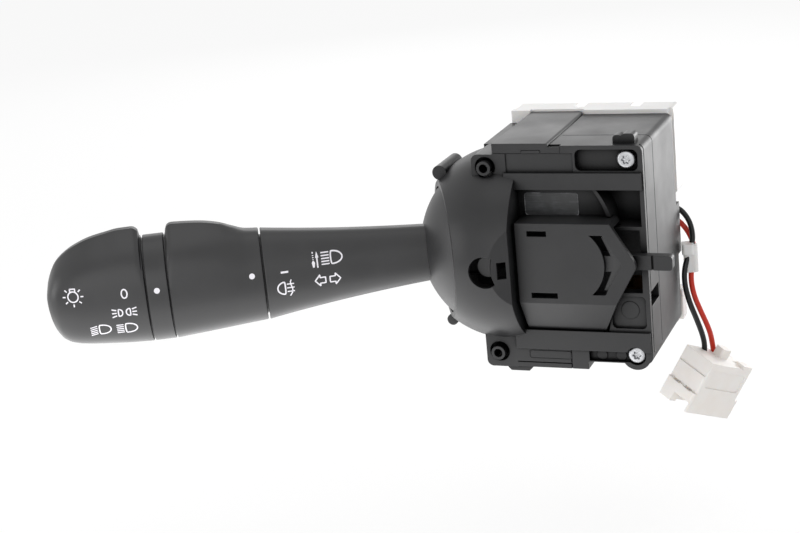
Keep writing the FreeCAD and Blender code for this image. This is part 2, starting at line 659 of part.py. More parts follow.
def face_details(body):
    """Trough, recesses, window, shelves and strips of the front face."""
    front = Size(-1.0, "(0 - 1)")
    trough_left = S.dome_lip
    curve_high = S.window_left - 3.9
    recess_low = S.window_top + S.ledge
    panel_top = -S.window_bottom - S.ledge
    # Block behind the deep recess, then the recess with its curved left wall
    add(body, "recess_block", "XZ_Plane", CAVITY_FRONT - 0.5, S.recess_depth + S.floor_wall,
        rectangle(curve_high - 1, S.box_right - 1, S.window_top, SHELF_TOP - 1))
    cut(body, "trough", "XZ_Plane", front, S.trough_depth, outline(
        (trough_left, BAR_TOP), (S.cancel_foot + 1, BAR_TOP),
        (S.window_left, -S.window_bottom), (S.window_left, recess_low),
        (S.window_left - 0.4, recess_low, 26), (curve_high - 1.2, S.trough_top),
        (trough_left, S.trough_top)))
    # Notch that lets the upper wall of the cancel cover through
    cut(body, "cover_notch", "XZ_Plane", front, S.trough_depth, rectangle(
        S.window_left - 1, S.cancel_shoulder + 1.3, recess_low - 0.1,
        S.cancel_top + S.run_gap))
    cut(body, "recess", "XZ_Plane", front, S.recess_depth, outline(
        (S.window_left + 0.9, recess_low), (S.box_right - S.pillar, recess_low),
        (S.box_right - S.pillar, S.trough_top), (curve_high, S.trough_top, -26)))
    cut(body, "window", "XZ_Plane", front, CAVITY_FRONT + 1, rectangle(
        S.window_left, CAVITY_RIGHT, -S.window_bottom, S.window_top))
    cut(body, "panel", "XZ_Plane", front, S.panel_depth, rectangle(
        S.cancel_foot + 2.2, S.box_right - S.pillar, BAR_TOP + S.ledge, panel_top,
        Size(1.4, "1.4")))
    add(body, "mark", "XZ_Plane", S.panel_depth - S.mark_height, S.panel_depth + 0.1,
        circle(S.box_right - 6.3, panel_top - 4.6, S.mark_radius))
    shelf_left = S.ear_right + 0.2
    add(body, "shelves", "XZ_Plane", -S.shelf_proud, 0.1,
        rectangle(shelf_left, S.box_right - 0.4, S.trough_top, SHELF_TOP),
        rectangle(shelf_left, S.box_right - 0.2, BAR_BOTTOM, BAR_TOP))
    cut(body, "strip", "XZ_Plane", front, S.strip_sink, rectangle(
        S.ear_right + 0.9, S.pocket_left - 0.7, SHELF_TOP, COVER_SEAT - 0.8))
    cut(body, "screw_pocket", "XZ_Plane", front, S.pocket_depth, rectangle(
        S.pocket_left, S.box_right - 1.4, SHELF_TOP + 0.5, S.box_top - 1.2, S.pocket_round))
    cut(body, "date_pocket", "XZ_Plane", front, S.date_depth, rectangle(
        S.date_left, S.screw_right, BOX_BOTTOM + 0.3, BAR_BOTTOM - 0.1))
    dial_rise = (BOX_BOTTOM + BAR_BOTTOM + 0.2) / 2
    dial_left = S.date_left + 3.7
    add(body, "date_dials", "XZ_Plane", S.date_depth - 0.3, S.date_depth + 0.1,
        circle(dial_left, dial_rise, S.dial_radius),
        circle(dial_left + S.dial_pitch, dial_rise, S.dial_radius))
    cut(body, "foot_pocket", "XZ_Plane", front, S.pocket_depth,
        circle(S.screw_right, SCREW_HEIGHTS[1], S.screw_head + 0.2))
    cut(body, "screw_holes", "XZ_Plane", front, CAVITY_FRONT + 1,
        *[circle(S.screw_right, height, S.screw_shank + S.hole_clearance)
          for height in SCREW_HEIGHTS])
    slot_middle = S.pivot_rise - 0.5
    cut(body, "flat_slot", "XZ_Plane", -FAR / 4, -9, rectangle(
        S.slot_left, S.slot_left + S.slot_width,
        slot_middle - S.slot_height / 2, slot_middle + S.slot_height / 2))
    lug_seat = COVER_SEAT - S.lug_depth
    cut(body, "lug_seats", "XZ_Plane", front, S.lug_thickness + 2 * S.seat_gap,
        rectangle(S.cover_left - S.seat_gap, S.cover_left + 9.2, lug_seat, COVER_SEAT + 3),
        rectangle(COVER_RIGHT - 2.5, COVER_RIGHT + 3.7, lug_seat, COVER_SEAT + 3))


def open_dome(body):
    """Cut the dome off square to the stalk, between the two pegs."""
    reach = S.opening_reach
    half = root(S.dome_radius * S.dome_radius - reach * reach) + 0.2
    cut(body, "opening", "XY_Plane", S.pivot_rise - half, S.pivot_rise + half,
        stalk_opening(reach))


def boss_details(body):
    """Two tubular fixing bosses, each in its sunk ring."""
    for number, height in enumerate(MOUNT_HEIGHTS):
        cut(body, f"well_{number}", "XZ_Plane", -1, S.well_depth,
            circle(0, height, S.well_radius))
        add(body, f"boss_{number}", "XZ_Plane", -S.boss_stand, S.well_depth + 0.1,
            circle(0, height, S.boss_radius))
        cut(body, f"bore_{number}", "XZ_Plane", -S.boss_stand - 1, CAVITY_FRONT + 5,
            circle(0, height, S.boss_bore))


def make_rear_housing():
    """Rear half of the box and dome, with the posts that take the screws."""
    body = new_body("rear_housing")
    r = S.corner_round
    add(body, "frame", "XZ_Plane", S.seam_depth, S.box_depth, outline(
        (LEFT, BOX_BOTTOM), (S.box_right - r, BOX_BOTTOM, r), (S.box_right, BOX_BOTTOM + r),
        (S.box_right, S.box_top - r, r), (S.box_right - r, S.box_top),
        (COVER_RIGHT + S.seat_gap, S.box_top), (COVER_RIGHT + S.seat_gap, COVER_SEAT),
        (S.cover_left - S.seat_gap, COVER_SEAT), (S.cover_left - S.seat_gap, EAR_TOP),
        (LEFT, EAR_TOP)))
    dome_half(body, front=False)
    cut(body, "cavity", "XZ_Plane", S.seam_depth, S.box_depth - S.wall,
        rectangle(CAVITY_LEFT, CAVITY_RIGHT, CAVITY_BOTTOM, CAVITY_TOP, Size(1.0, "1")))
    cut(body, "rear_window", "XZ_Plane", S.box_depth - S.wall - 1, FAR, rectangle(
        S.pivot_right, S.plate_right, CAVITY_BOTTOM + 3, CAVITY_TOP - 2))
    add(body, "posts", "XZ_Plane", CAVITY_FRONT, S.box_depth - S.wall + 0.1,
        *[circle(S.screw_right, height, S.post_radius) for height in SCREW_HEIGHTS])
    cut(body, "pilots", "XZ_Plane", CAVITY_FRONT - 1, CAVITY_FRONT + S.screw_length,
        *[circle(S.screw_right, height, S.screw_shank + 0.02) for height in SCREW_HEIGHTS])
    plate_rear = S.plate_front + S.plate_thickness
    add(body, "stand_offs", "XZ_Plane", plate_rear, S.box_depth - S.wall + 0.1,
        circle(CAVITY_LEFT + 2.4, CAVITY_TOP - 3, 2),
        circle(S.plate_right - 3.8, CAVITY_TOP - 3, 1.5),
        circle(CAVITY_LEFT + 2.4, CAVITY_BOTTOM + 3, 2),
        circle(S.plate_right - 3, CAVITY_BOTTOM + 3, 2))
    # Tongue on the right side behind which the lead comes out
    add(body, "tongue", "YZ_Plane", S.box_right - 1.2, S.box_right, rectangle(
        S.box_depth - 0.5, S.box_depth + 4, -9.8, 6.4))
    open_dome(body)


def make_top_cover():
    """Flat cover on the upper left with a rounded right edge and two lugs in front."""
    body = new_body("top_cover")
    top = S.box_top + S.cover_height
    under = top - S.cover_thickness
    bevel = S.cover_bevel
    corner = S.cover_round
    add(body, "plate", "XZ_Plane", S.seat_gap, COVER_END, outline(
        (S.cover_left, under), (COVER_RIGHT, under), (COVER_RIGHT, top - bevel, bevel),
        (COVER_RIGHT - bevel, top), (S.cover_left, top)))
    cut(body, "corner", "XY_Plane", under - 1, top + 1, outline(
        (COVER_RIGHT - corner, COVER_END, -corner), (COVER_RIGHT, COVER_END - corner),
        (COVER_RIGHT + 1, COVER_END - corner), (COVER_RIGHT + 1, COVER_END + 1),
        (COVER_RIGHT - corner, COVER_END + 1)))
    lug = under - S.lug_depth
    rear = S.seat_gap + S.lug_thickness
    add(body, "lugs", "XY_Plane", lug, under + 0.1,
        rectangle(S.cover_left, S.cover_left + 9.1, S.seat_gap, rear),
        rectangle(COVER_RIGHT - 2.4, COVER_RIGHT, S.seat_gap, rear))
    add(body, "tail", "XY_Plane", lug, under + 0.9, rectangle(
        COVER_RIGHT - 0.1, COVER_RIGHT + 3.6, S.seat_gap, rear))


def make_cancel_cover():
    """Arrow-shaped cover with a sloping foot, two latch windows and a V-shaped window."""
    body = new_body("cancel_cover")
    seat = S.trough_depth - S.seat_gap
    face = -S.cancel_proud
    inner = face + S.cancel_wall
    left = CANCEL_LEFT
    foot = BAR_TOP + S.seat_gap
    add(body, "section", "YZ_Plane", left, S.cancel_tip, outline(
        (seat, S.cancel_top), (face, S.cancel_top), (face, -S.cancel_bottom),
        (0, foot), (seat, foot), (seat, foot + 1.3), (0.9, foot + 1.3),
        (inner, -S.cancel_bottom + 0.5), (inner, S.cancel_top - 1.4),
        (seat, S.cancel_top - 1.4)))
    middle = S.pivot_rise
    cut(body, "arrow", "XZ_Plane", face - 1, seat + 1, outline(
        (S.cancel_shoulder, S.cancel_top + 1), (S.cancel_shoulder, S.cancel_top),
        *rounded_point(S.cancel_tip, middle, S.tip_round, 30, rising=False),
        (S.cancel_heel, -S.cancel_bottom), (S.cancel_foot, foot),
        (S.cancel_foot, foot - 1), (FAR, foot - 1), (FAR, S.cancel_top + 1)))
    # The left side of the V is one curve, its point and the ends of its arms are rounded
    left_end = S.chevron_left
    half = S.chevron_half
    point = left_end + S.chevron_reach + S.chevron_width
    belly = S.chevron_reach - 1.0
    curve = (half * half + belly * belly) / (2 * belly)
    arm = left_end + S.chevron_width
    cut(body, "chevron", "XZ_Plane", face - 1, inner + 0.1, outline(
        (left_end, middle - half), (arm - 0.4, middle - half, 1), (arm + 0.6, middle + 1 - half),
        *rounded_point(point, middle, Size(1.2, "1.2"), 28, rising=True),
        (arm + 0.6, middle - 1 + half, 1), (arm - 0.4, middle + half),
        (left_end, middle + half, -curve)))
    cut(body, "latch_windows", "XZ_Plane", face - 1, inner + 0.1,
        rectangle(left + 3.7, left + 9.7, S.cancel_top - 4.0, S.cancel_top - 2.3),
        rectangle(left + 3.9, left + 12.0, 1.6 - S.cancel_bottom, 3.3 - S.cancel_bottom))


def make_cancel_parts():
    """Chevron slider with its pin, the trip finger and their springs."""
    slider_front = -S.cancel_proud + S.cancel_wall + S.run_gap
    slider_rear = slider_front + S.slider_thickness
    middle = S.pivot_rise
    inner = S.chevron_left + 3.2
    slider = new_body("cancel_slider")
    add(slider, "chevron", "XZ_Plane", slider_front, slider_rear, outline(
        (inner, middle - S.chevron_half + 1), (inner + 3.4, middle - S.chevron_half + 1),
        (inner + 8.2, middle), (inner + 3.4, middle + S.chevron_half - 1),
        (inner, middle + S.chevron_half - 1), (inner + 3.6, middle)))
    add(slider, "stem", "XZ_Plane", slider_front, slider_rear, rectangle(
        S.finger_pivot - 4.5, inner + 5, middle - S.slider_stem, middle + S.slider_stem))
    add(slider, "pin_seat", "XZ_Plane", slider_front, slider_rear,
        circle(S.finger_pivot, middle, S.finger_hub))
    cut(slider, "pin_hole", "XZ_Plane", slider_front - 1, slider_rear + 1,
        circle(S.finger_pivot, middle, S.finger_pin + 0.02))

    finger_front = slider_rear + S.run_gap
    finger_rear = finger_front + S.finger_thickness
    pin = new_body("finger_pin")
    add(pin, "pin", "XZ_Plane", slider_front + 0.1, finger_rear + 1.4,
        circle(S.finger_pivot, middle, S.finger_pin))
    add(pin, "head", "XZ_Plane", finger_rear + 0.9, finger_rear + 1.7,
        circle(S.finger_pivot, middle, S.finger_pin + 1.4))

    finger = new_body("trip_finger")
    add(finger, "hub", "XZ_Plane", finger_front, finger_rear,
        circle(S.finger_pivot, middle, S.finger_hub))
    half = S.finger_height / 2
    add(finger, "bar", "XZ_Plane", finger_front, finger_rear, outline(
        (S.finger_pivot, middle - S.finger_hub + 0.2), (S.finger_pivot + 12, middle - half),
        (S.finger_end - 1, middle - half, 1), (S.finger_end, middle - half + 1),
        (S.finger_end, middle + half - 1, 1), (S.finger_end - 1, middle + half),
        (S.finger_pivot + 12, middle + half), (S.finger_pivot, middle + S.finger_hub - 0.2)))
    nib = S.finger_end - S.finger_nib
    cut(finger, "groove", "XZ_Plane", finger_front - 1, finger_front + S.finger_groove,
        rectangle(nib, nib + S.finger_groove, middle - half - 1, middle + half + 1))
    cut(finger, "pin_hole", "XZ_Plane", finger_front - 1, finger_rear + 1,
        circle(S.finger_pivot, middle, S.finger_pin + S.fit_gap))

    # Centring spring of the finger: one coil round the pin with two legs
    coil = document.addObject("Part::Torus", "finger_coil")
    coil.setExpression("Radius1", (S.finger_pin + S.spring_wire + 0.25).text)
    coil.setExpression("Radius2", S.spring_wire.text)
    coil.Placement = Placement(Vector(), Rotation(Vector(1, 0, 0), 90))
    coil.setExpression("Placement.Base.x", S.finger_pivot.text)
    coil.setExpression("Placement.Base.y", (finger_rear + S.spring_wire + 0.15).text)
    coil.setExpression("Placement.Base.z", middle.text)
    keep(coil, "finger_spring")


def coil_spring(label, start, length, radius, turns):
    """Compression spring along x from the start point."""
    wire_radius = S.spring_wire.value
    pitch = (length - 2 * wire_radius) / turns
    helix = Part.makeHelix(pitch, pitch * turns, radius)
    section = Part.Wire(Part.makeCircle(
        wire_radius, Vector(radius, 0, 0), Vector(0, 1, 0)))
    solid = Part.Wire(helix).makePipeShell([section], True, True)
    spring = document.addObject("Part::Feature", "Spring_" + label)
    spring.Shape = solid
    spring.Placement = Placement(
        start + Vector(wire_radius, 0, 0), Rotation(Vector(0, 1, 0), 90))
    return keep(spring, label)


def make_springs():
    """Springs behind the cancel slider and behind the detent plunger."""
    slider_middle = -S.cancel_proud.value + S.cancel_wall.value + S.run_gap.value
    slider_middle += 1.5 + S.spring_wire.value
    left = S.dome_lip.value + S.run_gap.value
    right = S.finger_pivot.value - 4.5 - 0.3
    coil_spring("slider_spring", Vector(left, slider_middle, S.pivot_rise.value),
                right - left, 1.5, 4)
    back = S.arm_end.value - 8.6
    front = S.plunger_reach.value - 8.0 - 0.1
    coil_spring("detent_spring", Vector(back, S.pivot_depth.value, S.pivot_rise.value),
                front - back, 1.3, 4)


def make_rocker():
    """Yoke that turns on two journals and holds the stalk between its cheeks."""
    body = new_body("rocker_yoke")
    middle = S.pivot_rise
    inner = S.hub_half_height + S.yoke_gap
    outer = inner + S.yoke_wall
    add(body, "block", "XZ_Plane", S.yoke_front, S.yoke_rear, rectangle(
        -S.yoke_left, S.yoke_right, middle - outer, middle + outer, Size(2.0, "2")))
    cut(body, "chamber", "YZ_Plane", -S.yoke_left - 1, S.yoke_right - 3, rectangle(
        S.yoke_front + S.yoke_bridge, S.yoke_rear - S.yoke_bridge, middle - inner, middle + inner))
    cut(body, "mouth", "XZ_Plane", S.yoke_front - 1, S.yoke_rear + 1, rectangle(
        -S.yoke_left - 1, 0.3, middle - inner, middle + inner))
    # The front journal ends inside the ball shield's swing
    shield_inside = S.dome_radius - S.dome_wall - S.shield_gap - S.shield_wall
    add(body, "journal", "XZ_Plane", S.pivot_depth - shield_inside + 1.2,
        S.yoke_front + 0.1, circle(S.pivot_right, middle, S.journal_radius))
    add(body, "rear_journal", "XZ_Plane", S.yoke_rear - 0.1,
        S.plate_front + S.plate_thickness - 0.1, circle(S.pivot_right, middle, S.rear_journal))
    cut(body, "pin_holes", "XY_Plane", middle - outer - 1, middle + outer + 1,
        circle(S.pivot_right, S.pivot_depth, S.cross_pin + 0.02))
    half = S.arm_half
    add(body, "arm", "XZ_Plane", S.pivot_depth - 4, S.pivot_depth + 4,
        rectangle(S.yoke_right - 0.1, S.arm_end, middle - half, middle + half))
    cut(body, "plunger_bore", "YZ_Plane", S.arm_end - 10, S.arm_end + 1,
        circle(S.pivot_depth, middle, S.plunger_radius + S.fit_gap))

    plunger = new_body("detent_plunger")
    add(plunger, "pin", "YZ_Plane", S.plunger_reach - 8, S.plunger_reach - 1.2,
        circle(S.pivot_depth, middle, S.plunger_radius))
    add(plunger, "nose", "YZ_Plane", S.plunger_reach - 1.3, S.plunger_reach,
        circle(S.pivot_depth, middle, S.plunger_radius - 0.8))

    pins = new_body("cross_pins")
    for number, side in enumerate((1, -1)):
        low = middle + side * (S.hub_half_height - 1.4)
        high = middle + side * outer
        start, end = (low, high) if side > 0 else (high, low)
        add(pins, f"pin_{number}", "XY_Plane", start, end,
            circle(S.pivot_right, S.pivot_depth, S.cross_pin))

    wipers = new_body("signal_wipers")
    add(wipers, "blades", "XZ_Plane", S.yoke_rear, S.yoke_rear + 0.5,
        rectangle(S.yoke_right - 5.4, S.yoke_right - 2.2, middle + 3, middle + 5),
        rectangle(S.yoke_right - 5.4, S.yoke_right - 2.2, middle - 5, middle - 3))


def make_detent_cam():
    """Cam with three shallow notches that the plunger rests in."""
    body = new_body("detent_cam")
    middle = S.pivot_rise
    reach = S.plunger_reach - S.pivot_right + S.run_gap
    side = reach * sine(S.turn_angle * 2)
    shallow = reach * cosine(S.turn_angle * 2)
    right = CAVITY_RIGHT - S.seat_gap
    add(body, "cam", "XZ_Plane", S.pivot_depth - 5, S.pivot_depth + 5, outline(
        (S.pivot_right + shallow, middle - side, reach), (S.pivot_right + shallow, middle + side),
        (right, middle + side), (right, middle - side)))
    notch = reach + S.detent_depth
    for number, turns in enumerate((-1, 0, 1)):
        angle = S.turn_angle * turns
        across = S.pivot_right + notch * cosine(angle) - S.plunger_radius
        up = middle + notch * sine(angle)
        cut(body, f"notch_{number}", "XZ_Plane", S.pivot_depth - 2.6, S.pivot_depth + 2.6,
            circle(across, up, S.plunger_radius))
    cut(body, "lightening", "XZ_Plane", S.pivot_depth - 4, S.pivot_depth + 6, rectangle(
        S.plunger_reach + 4.5, right - 1.5, middle - side + 1.5, middle + side - 1.5))


def make_screws():
    """Two pan-head screws with six-lobe recesses, in one file."""
    body = new_body("assembly_screws")
    seat = S.pocket_depth
    for number, height in enumerate(SCREW_HEIGHTS):
        add(body, f"head_{number}", "XZ_Plane", seat - S.screw_head_height, seat,
            circle(S.screw_right, height, S.screw_head))
        add(body, f"shank_{number}", "XZ_Plane", seat - 0.1, seat + S.screw_length,
            circle(S.screw_right, height, S.screw_shank))
        cut(body, f"recess_{number}", "XZ_Plane", seat - S.screw_head_height - 1,
            seat - S.screw_head_height + 1.1, circle(S.screw_right, height, 1.1))


# Blades of the upper socket in two rows and of the lower socket in one row
BLADES = [(S.block_left + S.blade_pitch * (column - 0.5), S.upper_socket_bottom + rise)
          for rise in (9.0, 18.5) for column in range(1, 8)]
BLADES += [(S.block_left + S.blade_pitch * (column - 0.5), -S.lower_socket_top - 13)
           for column in range(1, 7)]


def make_contacts():
    """Contact plate, its brass tracks and the terminal blades."""
    plate = new_body("contact_plate")
    rear = S.plate_front + S.plate_thickness
    add(plate, "plate", "XZ_Plane", S.plate_front, rear, rectangle(
        CAVITY_LEFT + S.seat_gap, S.plate_right, CAVITY_BOTTOM + S.seat_gap,
        CAVITY_TOP - S.seat_gap, Size(1.2, "1.2")))
    cut(plate, "bearing", "XZ_Plane", S.plate_front - 1, rear + 1,
        circle(S.pivot_right, S.pivot_rise, S.rear_journal + S.fit_gap))

    tracks = new_body("contact_tracks")
    for number, height in enumerate((S.pivot_rise + 2, S.pivot_rise - 6)):
        add(tracks, f"arc_{number}", "XZ_Plane", S.plate_front - S.track_thickness,
            S.plate_front, rectangle(S.yoke_right - 6, S.plate_right - 4, height, height + 4))
    for number, height in enumerate((S.pivot_rise + 16, S.pivot_rise - 19)):
        add(tracks, f"bus_{number}", "XZ_Plane", S.plate_front - S.track_thickness,
            S.plate_front, rectangle(S.cover_left, S.plate_right - 4, height, height + 3))

    blades = new_body("terminal_blades")
    half_wide = S.blade_width / 2
    half_thick = S.blade_thickness / 2
    add(blades, "blades", "XZ_Plane", rear, BLOCK_END - 2, *[
        rectangle(across - half_wide, across + half_wide, up - half_thick, up + half_thick)
        for across, up in BLADES])


def make_terminal_block():
    """White block behind the box, with two sockets and the exit of the lead."""
    body = new_body("terminal_block")
    left = -S.block_left
    low = -S.block_bottom
    base = S.box_depth
    floor = base + S.block_base
    w = S.socket_wall
    add(body, "base", "XZ_Plane", base, floor, rectangle(left, S.box_right - 1.3, low, S.block_top))
    add(body, "upper", "XZ_Plane", floor - 0.1, BLOCK_END, rectangle(
        left, S.box_right, S.upper_socket_bottom, S.block_top, Size(1.2, "1.2")))
    add(body, "lower", "XZ_Plane", floor - 0.1, BLOCK_END, rectangle(
        left, S.lower_socket_right, low, -S.lower_socket_top, Size(1.2, "1.2")))
    add(body, "corner", "XZ_Plane", floor - 0.1, BLOCK_END - 2, rectangle(
        S.lower_socket_right - 1, S.box_right, low, low + 10))
    cut(body, "upper_socket", "XZ_Plane", floor, FAR, rectangle(
        left + w, S.box_right - w, S.upper_socket_bottom + w, S.block_top - w))
    cut(body, "lower_socket", "XZ_Plane", floor, FAR, rectangle(
        left + w, S.lower_socket_right - w, low + w, -S.lower_socket_top - w))
    # The wires leave a small tower beside the lower socket
    add(body, "wire_tower", "XZ_Plane", floor - 0.1, BLOCK_END - 0.5, rectangle(
        S.wire_exit - 4, S.wire_exit, -4, 8))
    gap = S.fit_gap
    half_wide = S.blade_width / 2 + gap
    half_thick = S.blade_thickness / 2 + gap
    cut(body, "blade_slots", "XZ_Plane", base - 1, floor + 1, *[
        rectangle(across - half_wide, across + half_wide, up - half_thick, up + half_thick)
        for across, up in BLADES])
    cut(body, "cover_seat", "XY_Plane", COVER_SEAT, FAR, rectangle(
        S.cover_left - S.seat_gap, COVER_RIGHT + S.seat_gap, base - 1,
        COVER_END + S.seat_gap))
    for number, place in enumerate((12.0, 30.0)):
        cut(body, f"key_{number}", "XZ_Plane", floor + 2, FAR, rectangle(
            S.block_left + place, S.block_left + place + 3.2, S.block_top - w - 1, FAR))


# Stalk

def half_section(x, top, bottom, front, crest, slope):
    """Closed wire of one section: a curve down the driver's side from the crest to the
    bottom, the same curve up the far side, and the flat crest between them. The slope is
    the angle, in degrees, at which the curve leaves the crest."""
    half = crest / 2
    points = [
        Vector(x, half, top),
        Vector(x, half + (front - half) * 0.72, top * 0.62),
        Vector(x, front, -bottom * 0.05),
        Vector(x, front * 0.74, -bottom * 0.72),
        Vector(x, 0, -bottom),
    ]
    lean = Vector(0, cos(radians(slope)), -sin(radians(slope)))
    down = Part.BSplineCurve()
    down.interpolate(Points=points, InitialTangent=lean, FinalTangent=Vector(0, -1, 0))
    back = [Vector(p.x, -p.y, p.z) for p in reversed(points)]
    up = Part.BSplineCurve()
    up.interpolate(Points=back, InitialTangent=Vector(0, -1, 0),
                   FinalTangent=Vector(0, lean.y, -lean.z))
    across = Part.LineSegment(back[-1], points[0])
    return Part.Wire([down.toShape(), up.toShape(), across.toShape()])


def skin_shape(sections, inset=0.0, start=None, end=None):
    """Loft through sections (x, top, bottom, depth, crest, slope), pulled in by an inset."""
    wires = []
    for x, top, bottom, front, crest, slope in sections:
        if start is not None and not start <= x <= end:
            continue
        wires.append(half_section(x, top - inset, bottom - inset, front - inset,
                                  max(crest - inset, 0.6), slope))
    return Part.makeLoft(wires, True, False)


def rod(radius, start, end, y=0.0, z=0.0):
    """Cylinder along the stalk."""
    return Part.makeCylinder(radius, end - start, Vector(start, y, z), Vector(1, 0, 0))


def shell_sections():
    """Sections of the stalk shell, which widens slowly and then faster to the groove."""
    start = 24.0
    end = S.shell_end.value
    sections = []
    for step in range(6):
        share = step / 5.0
        grow = 0.55 * share + 0.45 * share ** 2
        top = S.root_top.value - 0.5 + (S.groove_top.value - S.root_top.value + 0.5) * grow
        bottom = S.root_bottom.value - 0.5
        bottom += (S.groove_bottom.value - bottom) * grow
        depth = (top + bottom) / 2 * (0.80 + (S.stalk_depth.value - 0.80) * share)
        sections.append((start + (end - start) * share, top, bottom, depth, 2.0, 2.0))
    return sections


def fog_sections():
    """Sections of the fog ring: level at the groove, raised to a crest, rounded off."""
    start = S.fog_start.value
    length = S.fog_end.value - start
    rise = S.fog_top.value - S.groove_top.value
    fall = S.index_bottom.value - S.groove_bottom.value
    share_of_depth = S.stalk_depth.value
    crest = S.crest_width.value
    shape = ((0.0, 0.0, 2), (0.14, 0.08, 5), (0.27, 0.34, 18), (0.42, 0.66, 34),
             (0.60, 0.87, 42), (0.80, 0.97, 46), (0.92, 1.0, 46), (0.965, 0.90, 46),
             (0.99, 0.62, 40), (1.0, 0.44, 34))
    sections = []
    for share, lift, slope in shape:
        top = S.groove_top.value + rise * lift
        bottom = S.groove_bottom.value + fall * share
        depth = (S.groove_top.value + bottom) / 2 * share_of_depth + 0.9 * share
        sections.append((start + length * share, top, bottom, depth, crest, slope))
    return sections


def index_sections():
    """Sections of the narrow index ring."""
    depth = (S.index_top.value + S.index_bottom.value) / 2 * S.stalk_depth.value
    crest = S.crest_width.value
    return [(x, S.index_top.value, S.index_bottom.value, depth, crest, 12.0)
            for x in (S.index_start.value, S.index_end.value)]


def knob_sections():
    """Sections of the light knob: rounded shoulder, crest, then down to a blunt end."""
    start = S.knob_start.value
    length = S.knob_end.value - start
    rise = S.knob_top.value - S.index_top.value
    depth = (S.index_top.value + S.index_bottom.value) / 2 * S.stalk_depth.value
    crest = S.crest_width.value
    shape = ((0.0, 0.0, 0.0, 1.0, 40), (0.012, 0.45, 0.0, 1.0, 44), (0.035, 0.80, 0.0, 1.0, 46),
             (0.075, 1.0, 0.01, 1.0, 46), (0.20, 0.99, 0.03, 0.995, 46),
             (0.36, 0.76, 0.07, 0.985, 45), (0.52, 0.44, 0.12, 0.965, 42),
             (0.69, -0.20, 0.19, 0.92, 38), (0.80, -0.85, 0.27, 0.85, 32),
             (0.885, -1.65, 0.42, 0.75, 26), (0.945, -2.75, 0.72, 0.62, 18),
             (0.985, -4.0, 1.15, 0.44, 10), (1.0, -4.65, 1.5, 0.33, 6))
    sections = []
    for share, lift, tuck, wide, slope in shape:
        top = S.index_top.value + rise * lift
        bottom = S.index_bottom.value * (1 - 0.5 * tuck)
        sections.append((start + length * share, top, bottom, depth * wide,
                         crest * wide, slope))
    return sections


def keep_shape(label, shape):
    """Keep a finished shape of the stalk, drawn in the stalk's own frame."""
    feature = document.addObject("Part::Feature", "Skin_" + label)
    feature.Shape = shape
    set_on_stalk(feature)
    return keep(feature, label)


def make_stalk_skins():
    """Shell, fog ring, index ring and knob, each hollow round its tube or shaft."""
    skin = S.skin.value
    fit = S.fit_gap.value
    ball = S.dome_radius.value - S.dome_wall.value - S.shield_gap.value
    drive = S.drive_radius.value
    end = S.shell_end.value

    sections = shell_sections()
    shell = skin_shape(sections)
    shell = shell.cut(Part.makeSphere(ball + 0.03))
    inside = skin_shape(sections, skin, 30.0, end - 3.0)
    shell = shell.cut(inside)
    shell = shell.fuse(rod(S.neck_radius.value, S.hub_front.value, sections[2][0] + 1))
    shell = shell.fuse(rod(drive + skin, sections[2][0], end - 1))
    shell = shell.cut(rod(drive + fit, S.hub_front.value - 1, end + 1))
    pin = S.detent_pin.value
    offset = -S.detent_offset.value
    shell = shell.fuse(rod(pin + 1.2, end - 9, end - 0.5, 0, offset))
    shell = shell.cut(rod(pin + 0.02, end - 8, end + 1, 0, offset))
    keep_shape("stalk_shell", shell.removeSplitter())

    sections = fog_sections()
    ring = skin_shape(sections)
    inside = skin_shape(sections, skin, sections[0][0] + 2, sections[-4][0] + 0.1)
    ring = ring.cut(inside)
    ring = ring.fuse(rod(drive + skin, S.fog_start.value + 0.5, S.fog_end.value - 0.5))
    ring = ring.cut(rod(drive + 0.03, S.fog_start.value - 1, S.fog_end.value + 1))
    keep_shape("fog_ring", ring.removeSplitter())

    index = skin_shape(index_sections())
    index = index.cut(rod(S.core_radius.value + 0.03, S.index_start.value - 1, S.index_end.value + 1))
    index = index.cut(rod(pin + 0.02, S.index_start.value + 1, S.index_end.value + 1, 0, offset))
    keep_shape("index_ring", index)

    sections = knob_sections()
    knob = skin_shape(sections)
    inside = skin_shape(sections, skin, sections[3][0], sections[-4][0])
    knob = knob.cut(inside)
    bore_end = S.knob_end.value - 8
    knob = knob.fuse(rod(S.shaft_radius.value + skin, S.knob_start.value + 1, bore_end + 2))
    knob = knob.cut(rod(S.shaft_radius.value + 0.03, S.knob_start.value - 1, bore_end))
    keep_shape("light_knob", knob.removeSplitter())


